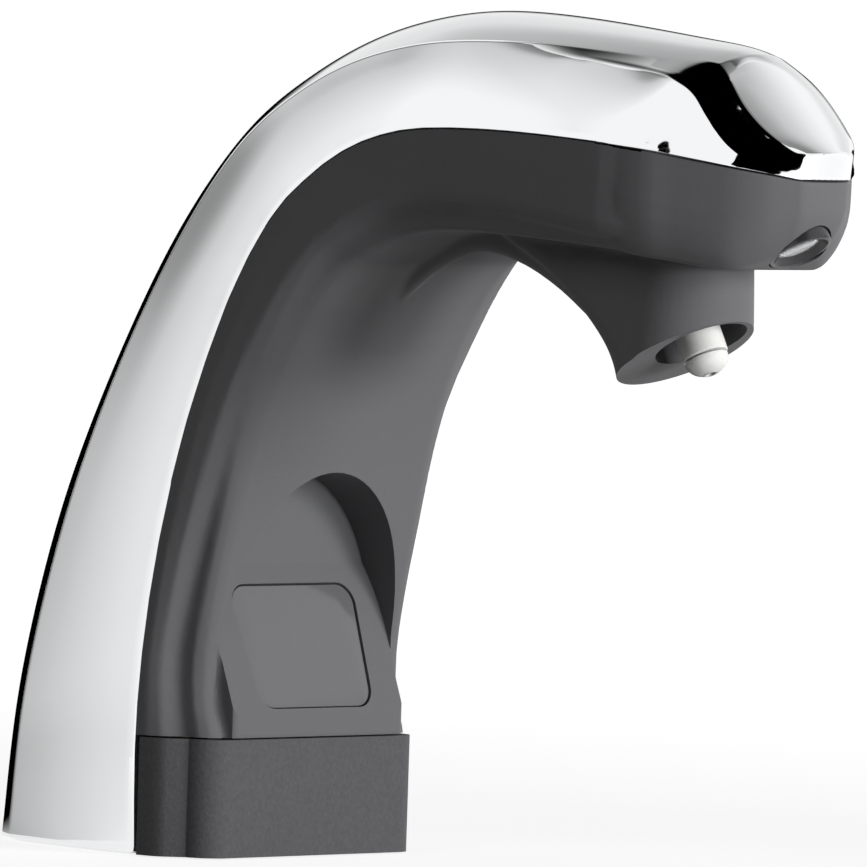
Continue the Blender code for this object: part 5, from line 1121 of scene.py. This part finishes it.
def oval_turned(name, matrix, length, width, profile, steps=64):
    """Closed profile of (distance in from the edge, height) points, swept round an ellipse."""
    shape = bmesh.new()
    rings = []
    for inset, height in profile:
        if inset is None:
            rings.append([shape.verts.new(matrix @ Vector((0.0, 0.0, height)))] * steps)
            continue
        rings.append([shape.verts.new(matrix @ Vector((x, y, height)))
                      for x, y in oval(length - 2 * inset, width - 2 * inset, steps)])
    for lower, upper in zip(rings, rings[1:] + rings[:1]):
        for step in range(steps):
            after = (step + 1) % steps
            corners = tuple(dict.fromkeys((lower[step], lower[after], upper[after], upper[step])))
            if len(corners) > 2:
                shape.faces.new(corners)
    return add_mesh(name, shape)


def build_indicator(form):
    """Ring and domed lens of the light under the head."""
    matrix = lens_matrix(form)
    low = -BEZEL_HEIGHT
    top = -GAP
    inner = (BEZEL_LENGTH - LENS_LENGTH) / 2 - GAP
    ring = oval_turned("lamp_ring", matrix, BEZEL_LENGTH, BEZEL_WIDTH,
                       ((0.0, low), (0.0, top - 0.0003), (0.0001, top - 0.0001), (0.0003, top),
                        (0.0006, top), (0.0008, top - 0.0002), (inner - 0.0002, top - 0.0011),
                        (inner, top - 0.0013), (inner, low)))
    soften(ring, LAMP_SHARP_ANGLE)
    crest = low + LENS_LOW
    lens = oval_turned("lamp_lens", matrix, LENS_LENGTH, LENS_WIDTH,
                       ((None, low), (0.0, low), (0.0, crest - 0.0008), (0.0002, crest - 0.0006),
                        (0.0009, crest - 0.0003), (0.0020, crest - 0.0001), (None, crest)))
    soften(lens, LAMP_SHARP_ANGLE)
    return ring, lens


def build_nozzle():
    """White sleeve with its seat, and the domed tip with the outlet hole."""
    corners = ((SLEEVE_BORE_RADIUS, SLEEVE_TOP, False), (NOZZLE_RADIUS, SLEEVE_TOP, True),
               (NOZZLE_RADIUS, SLEEVE_LOW, True), (CHAMBER_RADIUS, SLEEVE_LOW, False),
               (CHAMBER_RADIUS, CHAMBER_TOP, False), (SLEEVE_BORE_RADIUS, SEAT_TOP, False))
    sleeve = turned("outlet_sleeve", rounded_profile(corners, SLEEVE_ROUND))
    soften(sleeve, NOZZLE_SHARP_ANGLE)
    top = SLEEVE_LOW + GAP
    dome = []
    for step in range(17):
        angle = math.pi / 2 * step / 16 * TIP_DOME_SHARE
        dome.append((TIP_RADIUS * math.cos(angle),
                     top + TIP_DOME_LIFT + TIP_DOME_HEIGHT * math.sin(angle)))
    end = dome[-1][1]
    spigot = [(OUTLET_RADIUS, TIP_SPIGOT_TOP), (TIP_SPIGOT_RADIUS, TIP_SPIGOT_TOP),
              (TIP_SPIGOT_RADIUS, top), (TIP_LOW_RADIUS, top)]
    tip = turned("outlet_tip", spigot + dome + [(OUTLET_LIP_RADIUS, end + 0.00003),
                                                (OUTLET_RADIUS, end - 0.0001)])
    soften(tip, NOZZLE_SHARP_ANGLE)
    return sleeve, tip


class PieceStep:
    """What the steps that build or finish pieces share."""

    def execute(self, context):
        self.build(context.scene.dispenser_sizes, context.scene.dispenser_colours)
        return {"FINISHED"}


class DISPENSER_OT_shell(PieceStep, bpy.types.Operator):
    """Build the chrome-plated shell"""
    bl_idname = "dispenser.shell"
    bl_label = "Shell"

    def build(self, sizes, colours):
        made = build_shell(SpoutForm(sizes))
        place_piece(made, chrome_material(tuple(colours.chrome)), "spout", "chrome", "chrome_shell")


class DISPENSER_OT_body(PieceStep, bpy.types.Operator):
    """Build the moulded body with its niche, head and nozzle boss"""
    bl_idname = "dispenser.body"
    bl_label = "Body"

    def build(self, sizes, colours):
        made = build_body(SpoutForm(sizes), sizes)
        finish = body_material(tuple(colours.body), sizes.grain)
        place_piece(made, finish, "spout", "black_plastic", "spout_body")


class DISPENSER_OT_collar(PieceStep, bpy.types.Operator):
    """Build the textured base collar"""
    bl_idname = "dispenser.collar"
    bl_label = "Collar"

    def build(self, sizes, colours):
        made = build_collar(SpoutForm(sizes))
        finish = collar_material(tuple(colours.collar), sizes.collar_grain)
        place_piece(made, finish, "spout", "black_coat", "base_collar")


class DISPENSER_OT_window(PieceStep, bpy.types.Operator):
    """Build the infrared window"""
    bl_idname = "dispenser.window"
    bl_label = "Window"

    def build(self, sizes, colours):
        finish = window_material(tuple(colours.window))
        place_piece(build_window(), finish, "spout", "dark_window", "sensor_window")


class DISPENSER_OT_indicator(PieceStep, bpy.types.Operator):
    """Build the ring and lens of the light under the head"""
    bl_idname = "dispenser.indicator"
    bl_label = "Indicator light"

    def build(self, sizes, colours):
        ring, lens = build_indicator(SpoutForm(sizes))
        place_piece(ring, plastic_material("black_abs_satin_moulded", "#2A2A2C", 0.3), "spout",
                    "black_plastic", "indicator_bezel")
        place_piece(lens, clear_material("clear_polycarbonate_moulded", srgb_linear("#D8DADC"), 0.08),
                    "spout", "clear_plastic", "indicator_lens")


class DISPENSER_OT_nozzle(PieceStep, bpy.types.Operator):
    """Build the outlet sleeve and tip, which pull down together"""
    bl_idname = "dispenser.nozzle"
    bl_label = "Nozzle"

    def build(self, sizes, colours):
        sleeve, tip = build_nozzle()
        finish = acetal_material("white_acetal_moulded", tuple(colours.nozzle))
        place_piece(sleeve, finish, "nozzle", "white_plastic", "nozzle_sleeve")
        place_piece(tip, finish, "nozzle", "white_plastic", "nozzle_tip")


def dress(material, *nodes):
    """Give CAD nodes, whose shapes stay as they are, their finish."""
    for node in nodes:
        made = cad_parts[node]
        made.data.materials.clear()
        made.data.materials.append(material)


class DISPENSER_OT_seals(PieceStep, bpy.types.Operator):
    """Finish the rubber seals"""
    bl_idname = "dispenser.seals"
    bl_label = "Seals"

    def build(self, sizes, colours):
        dress(rubber_material(), "window_seal", "nozzle_oring", "deck_gasket")


class DISPENSER_OT_metalwork(PieceStep, bpy.types.Operator):
    """Finish the insert, screws, retaining ring, valve ball and spring"""
    bl_idname = "dispenser.metalwork"
    bl_label = "Metalwork"

    def build(self, sizes, colours):
        dress(metal_material("brass_turned", "#C9A25B", 0.28), "shank_insert")
        dress(metal_material("zinc_plated_steel_screws", "#B9BCC0", 0.3), *(
            f"{kind}_screw_{side}" for kind in ("body", "shell", "sensor", "indicator")
            for side in ("left", "right")))
        dress(metal_material("spring_steel_drawn", "#A9ACB0", 0.32, 0.0003),
              "valve_spring", "nozzle_retainer")
        dress(metal_material("stainless_steel_ground", "#C6C8CA", 0.1, 0.0004), "valve_ball")


class DISPENSER_OT_electronics(PieceStep, bpy.types.Operator):
    """Finish the boards, diodes, holder, socket, plug and cables"""
    bl_idname = "dispenser.electronics"
    bl_label = "Electronics"

    def build(self, sizes, colours):
        dress(board_material(), "sensor_board", "indicator_board")
        dress(plastic_material("black_abs_holder_moulded", "#262628", 0.45), "sensor_holder")
        dress(clear_material("clear_epoxy_cast", srgb_linear("#CFD4DA"), 0.1),
              "ir_emitter", "indicator_led")
        dress(plastic_material("dark_epoxy_cast", "#24222A", 0.12), "ir_receiver")
        dress(plastic_material("white_nylon_moulded", "#E2E0D6", 0.4), "board_socket", "cable_plug")
        dress(plastic_material("pvc_cable_extruded", "#262626", 0.42, 0.0008),
              "sensor_cable", "indicator_cable")


class DISPENSER_OT_soap_way(PieceStep, bpy.types.Operator):
    """Finish the tube and the holder that it ends in"""
    bl_idname = "dispenser.soap_way"
    bl_label = "Soap tube and holder"

    def build(self, sizes, colours):
        dress(plastic_material("polyethylene_tube_extruded", "#D9DAD2", 0.35, 0.0012), "soap_tube")
        dress(acetal_material("white_acetal_holder_moulded", srgb_linear("#DCDCD8")), "nozzle_holder")


CAMERA_AZIMUTH = math.radians(42.0)
CAMERA_DISTANCE = 2.5
CAMERA_HEIGHT = 0.157
CAMERA_TARGET = Vector((0.0551, 0.0, 0.0704))
CAMERA_ROLL = math.radians(1.82)
CAMERA_FOCAL_PIXELS = 15355.0
PICTURE_PIXELS = 867.0
DIFFUSE_SKY = 0.05
STAGE_CENTRE = Vector((0.06, 0.0, 0.08))
WHITE = (1.0, 1.0, 1.0, 1.0)
PAPER_COLOUR = (0.35, 0.35, 0.35, 1.0)
FLOOR_HALF = 6.0
FLOOR_Z = -0.0002
FLOOR_NEAR = 0.15
FLOOR_FAR = 0.7
FLOOR_SHADE = 0.8


def upright(azimuth, *points):
    """Column of a card at one azimuth, from its elevations and brightnesses."""
    return tuple((azimuth, elevation, brightness) for elevation, brightness in points)


def even(brightness, *points):
    """Column of a card of one brightness, from its azimuths and elevations."""
    return tuple((azimuth, elevation, brightness) for azimuth, elevation in points)


# Flags and cards that the chrome mirrors: distance, then columns of points with azimuth and
# elevation in degrees and a brightness. Points below the horizon lie on the floor.
CARDS = (
    ("rear_flag", 2.2, (
        even(0.0, (-182, -50), (-182, -8), (-178, 10), (-178, 25), (-174, 37), (-162, 50), (-160, 60)),
        even(0.33, (-167, -50), (-167, -8), (-169, 10), (-169, 25), (-160, 37), (-151, 50), (-150, 60)),
        even(0.65, (-158, -50), (-158, -8), (-165, 10), (-164, 25), (-157, 37), (-148, 50), (-148, 60)),
        even(1.0, (-145, -50), (-145, -8), (-154, 10), (-148, 25), (-146, 37), (-138, 50), (-139, 60)))),
    ("top_flag", 2.0, (
        upright(-202, (58, 0.6), (61, 0.3), (64, 0.0), (90, 0.0)),
        upright(-176, (57, 0.6), (60, 0.2), (63, 0.0), (90, 0.0)),
        upright(-150, (58, 1.0), (60, 0.6), (61.5, 0.0), (90, 0.0)),
        upright(-110, (58, 1.0), (59, 0.6), (60.5, 0.0), (90, 0.0)),
        upright(-101, (57, 1.0), (58, 0.3), (60, 0.0), (90, 0.0)),
        upright(-88, (51.5, 1.0), (52, 0.3), (53, 0.0), (90, 0.0)),
        upright(-78, (49, 1.0), (49.5, 0.3), (50.5, 0.0), (90, 0.0)),
        upright(-62, (42, 1.0), (44, 0.0), (52, 0.0), (90, 0.0)),
        even(0.0, (-30, 40), (-30, 50), (-30, 66), (-30, 90)),
        upright(-16, (42, 0.20), (50, 0.20), (66, 0.20), (90, 0.1)),
        upright(15, (40, 0.35), (50, 0.30), (66, 0.25), (90, 0.1)),
        upright(55, (40, 0.85), (50, 0.75), (66, 0.55), (90, 0.2)),
        upright(80, (38, 1.0), (50, 0.85), (66, 0.6), (90, 0.4)),
        upright(97, (38, 1.0), (50, 0.9), (66, 0.55), (90, 0.4)))),
    ("lip_flag", 1.9, (even(0.05, (12, 5), (12, 14)), even(0.05, (80, 5), (80, 14)))),
    ("crown_flag", 2.1, (
        upright(97, (16, 1.0), (35, 1.0), (45, 1.0), (58, 1.0), (69, 0.8), (71, 0.35), (88, 0.3)),
        upright(103, (16, 0.9), (35, 0.75), (45, 0.5), (58, 0.4), (69, 0.1), (71, 0.28), (88, 0.25)),
        upright(130, (16, 0.9), (35, 0.78), (45, 0.53), (58, 0.4), (69, 0.05), (71, 0.1), (88, 0.1)),
        upright(165, (16, 0.9), (35, 0.8), (45, 0.56), (58, 0.4), (69, 0.0), (71, 0.05), (88, 0.05)))),
    ("contour_flag", 2.15, tuple(upright(azimuth, (-50, 0.0), (-5, 0.0), (10, 0.0), (16, 0.9))
                                 for azimuth in (112, 179))),
    ("camera_flag", 1.9, (
        even(0.0, (-57, -10), (-63, 17), (-69, 29), (-70, 41), (-73.3, 43), (-78, 51)),
        even(0.0, (-40, -10), (-40, 17), (-40, 29), (-40, 41), (-40, 43), (-40, 53)),
        even(0.0, (-20, -10), (-20, 15), (-20, 24), (-20, 33), (-20, 35), (-20, 42)))),
)
CARD_STEPS = 6
LAMPS = (("key_softbox", (1.75, 0.55, 0.45), 0.7, 28.0), ("low_softbox", (1.60, 0.0, 0.13), 0.25, 13.0),
         ("side_softbox", (0.35, -1.35, 1.0), 0.8, 4.0), ("top_softbox", (0.4, 0.0, 2.0), 0.9, 2.0))


def make_camera():
    """Camera at the photograph's angle."""
    eye = Vector((CAMERA_TARGET.x + CAMERA_DISTANCE * math.sin(CAMERA_AZIMUTH),
                  -CAMERA_DISTANCE * math.cos(CAMERA_AZIMUTH), CAMERA_HEIGHT))
    forward = (CAMERA_TARGET - eye).normalized()
    level = forward.cross(Vector((0.0, 0.0, 1.0))).normalized()
    upright = level.cross(forward)
    right = level * math.cos(CAMERA_ROLL) + upright * math.sin(CAMERA_ROLL)
    up = upright * math.cos(CAMERA_ROLL) - level * math.sin(CAMERA_ROLL)
    data = bpy.data.cameras.new("photo_camera")
    data.sensor_width = 36.0
    data.lens = CAMERA_FOCAL_PIXELS / PICTURE_PIXELS * data.sensor_width
    made = add_object("photo_camera", data)
    made.matrix_world = Matrix.Translation(eye) @ Matrix((right, up, -forward)).transposed().to_4x4()
    bpy.context.scene.camera = made


def combined(tree, operation, first, second):
    """Socket with the two sockets' values joined by a math operation."""
    return add_node(tree, "ShaderNodeMath", links={0: first, 1: second}, operation=operation).outputs[0]


def seen_directly(tree):
    """Socket that is 1 for camera, glossy and transmission rays, and 0 for others."""
    rays = add_node(tree, "ShaderNodeLightPath").outputs
    pair = combined(tree, "MAXIMUM", rays["Is Camera Ray"], rays["Is Glossy Ray"])
    return combined(tree, "MAXIMUM", pair, rays["Is Transmission Ray"])


def make_world():
    """Soft even sky for diffuse light, and plain white where it is seen or mirrored."""
    world = bpy.data.worlds.new("studio")
    world.use_nodes = True
    tree = world.node_tree
    tree.nodes.clear()
    sky = add_node(tree, "ShaderNodeBackground", {"Color": WHITE, "Strength": DIFFUSE_SKY})
    white = add_node(tree, "ShaderNodeBackground", {"Color": WHITE, "Strength": 1.0})
    mix = add_node(tree, "ShaderNodeMixShader", links={0: seen_directly(tree), 1: sky.outputs[0],
                                                       2: white.outputs[0]})
    add_node(tree, "ShaderNodeOutputWorld", links={"Surface": mix.outputs[0]})
    bpy.context.scene.world = world


def flat_square(name, half, matrix):
    """Square sheet for the floor."""
    shape = bmesh.new()
    corners = [shape.verts.new(matrix @ Vector((x * half, y * half, 0.0)))
               for x, y in ((-1, -1), (1, -1), (1, 1), (-1, 1))]
    shape.faces.new(corners)
    made = add_mesh(name, shape)
    return made


def bare_material(name):
    """Material with no nodes yet, and its tree."""
    made = bpy.data.materials.new(name)
    made.use_nodes = True
    made.node_tree.nodes.clear()
    return made, made.node_tree


def make_floor():
    """Pale floor that shows the object's soft shadow."""
    made = flat_square("studio_floor", FLOOR_HALF, Matrix.Translation((0.0, 0.0, FLOOR_Z)))
    # Matt white studio paper: even, no gloss, plain white where it is seen or mirrored.
    material, tree = bare_material("studio_paper_matt")
    paper = add_node(tree, "ShaderNodeBsdfDiffuse", {"Color": PAPER_COLOUR})
    glow = add_node(tree, "ShaderNodeEmission", {"Color": WHITE, "Strength": 1.0})
    place = add_node(tree, "ShaderNodeTexCoord")
    far = add_node(tree, "ShaderNodeVectorMath", links={0: place.outputs["Object"]}, operation="LENGTH")
    level = add_node(tree, "ShaderNodeMapRange", {"From Min": FLOOR_NEAR, "From Max": FLOOR_FAR,
                                                  "To Min": FLOOR_SHADE, "To Max": 1.0},
                     {"Value": far.outputs["Value"]})
    share = combined(tree, "MULTIPLY", seen_directly(tree), level.outputs["Result"])
    tree.links.new(share, glow.inputs["Strength"])
    both = add_node(tree, "ShaderNodeAddShader", links={0: paper.outputs[0], 1: glow.outputs[0]})
    add_node(tree, "ShaderNodeOutputMaterial", links={"Surface": both.outputs[0]})
    made.data.materials.append(material)


def card_spot(distance, azimuth, elevation):
    """Point of a card in a direction given in degrees, on the floor when below the horizon."""
    azimuth, elevation = math.radians(azimuth), math.radians(elevation)
    if elevation < 0:
        reach = min(STAGE_CENTRE.z / math.tan(-elevation), distance)
        return Vector((STAGE_CENTRE.x + reach * math.cos(azimuth), reach * math.sin(azimuth), 0.001))
    level = math.cos(elevation)
    return STAGE_CENTRE + distance * Vector((level * math.cos(azimuth), level * math.sin(azimuth),
                                             math.sin(elevation)))


def fine_steps(points):
    """Points with even steps put in between them."""
    fine = [points[0]]
    for start, end in zip(points, points[1:]):
        for step in range(1, CARD_STEPS + 1):
            fine.append([low + (high - low) * step / CARD_STEPS for low, high in zip(start, end)])
    return fine


def make_cards():
    """Cards that the chrome mirrors, seen by nothing else."""
    # Studio card, matt: from black to white across its soft edges.
    material, tree = bare_material("studio_card_graded")
    shade = add_node(tree, "ShaderNodeAttribute", attribute_name="shade")
    glow = add_node(tree, "ShaderNodeEmission", {"Color": WHITE},
                    {"Strength": shade.outputs["Fac"]})
    add_node(tree, "ShaderNodeOutputMaterial", links={"Surface": glow.outputs[0]})
    for name, distance, columns in CARDS:
        shape = bmesh.new()
        layer = shape.verts.layers.float.new("shade")
        rows = []
        tall = [fine_steps(column) for column in columns]
        for column in zip(*(fine_steps(points) for points in zip(*tall))):
            row = []
            for azimuth, elevation, brightness in column:
                vert = shape.verts.new(card_spot(distance, azimuth, elevation))
                vert[layer] = brightness
                row.append(vert)
            rows.append(row)
        for left, right in zip(rows, rows[1:]):
            for step in range(len(left) - 1):
                shape.faces.new((left[step], right[step], right[step + 1], left[step + 1]))
        made = add_mesh(name, shape)
        made.data.materials.append(material)
        made.visible_camera = False
        made.visible_diffuse = False
        made.visible_shadow = False


def make_lamps():
    """Large softboxes round the object."""
    for name, spot, size, power in LAMPS:
        data = bpy.data.lights.new(name, "AREA")
        data.size = size
        data.energy = power
        made = add_object(name, data)
        aim = STAGE_CENTRE - Vector(spot)
        turn = aim.to_track_quat("-Z", "Y").to_matrix().to_4x4()
        made.matrix_world = Matrix.Translation(Vector(spot)) @ turn
        made.visible_glossy = False


class DISPENSER_OT_stage(bpy.types.Operator):
    """Build the floor, cards, lamps, sky and camera"""
    bl_idname = "dispenser.stage"
    bl_label = "Stage"

    def execute(self, context):
        make_camera()
        make_world()
        make_floor()
        make_cards()
        make_lamps()
        context.scene.view_settings.view_transform = "Standard"
        return {"FINISHED"}


PIECE_OPERATORS = (DISPENSER_OT_stage, DISPENSER_OT_shell, DISPENSER_OT_body, DISPENSER_OT_collar,
                   DISPENSER_OT_window, DISPENSER_OT_indicator, DISPENSER_OT_nozzle, DISPENSER_OT_seals,
                   DISPENSER_OT_metalwork, DISPENSER_OT_electronics, DISPENSER_OT_soap_way)


class DISPENSER_PT_panel(bpy.types.Panel):
    """Sizes, colours and building steps of the dispenser"""
    bl_idname = "DISPENSER_PT_panel"
    bl_label = "Automatic soap dispenser"
    bl_space_type = "VIEW_3D"
    bl_region_type = "UI"
    bl_category = "Dispenser"

    def draw(self, context):
        for settings in (context.scene.dispenser_sizes, context.scene.dispenser_colours):
            column = self.layout.column()
            for name in settings.__annotations__:
                column.prop(settings, name)
        for operator in PIECE_OPERATORS:
            self.layout.operator(operator.bl_idname)


CLASSES = (DispenserSizes, DispenserColours, *PIECE_OPERATORS, DISPENSER_PT_panel)


def register():
    for each in CLASSES:
        bpy.utils.register_class(each)
    bpy.types.Scene.dispenser_sizes = bpy.props.PointerProperty(type=DispenserSizes)
    bpy.types.Scene.dispenser_colours = bpy.props.PointerProperty(type=DispenserColours)


def unregister():
    del bpy.types.Scene.dispenser_colours
    del bpy.types.Scene.dispenser_sizes
    for each in reversed(CLASSES):
        bpy.utils.unregister_class(each)


def main():
    """Build every piece in order."""
    register()
    bpy.ops.dispenser.stage()
    bpy.ops.dispenser.shell()
    bpy.ops.dispenser.body()
    bpy.ops.dispenser.collar()
    bpy.ops.dispenser.window()
    bpy.ops.dispenser.indicator()
    bpy.ops.dispenser.nozzle()
    bpy.ops.dispenser.seals()
    bpy.ops.dispenser.metalwork()
    bpy.ops.dispenser.electronics()
    bpy.ops.dispenser.soap_way()


if __name__ == "__main__":
    main()
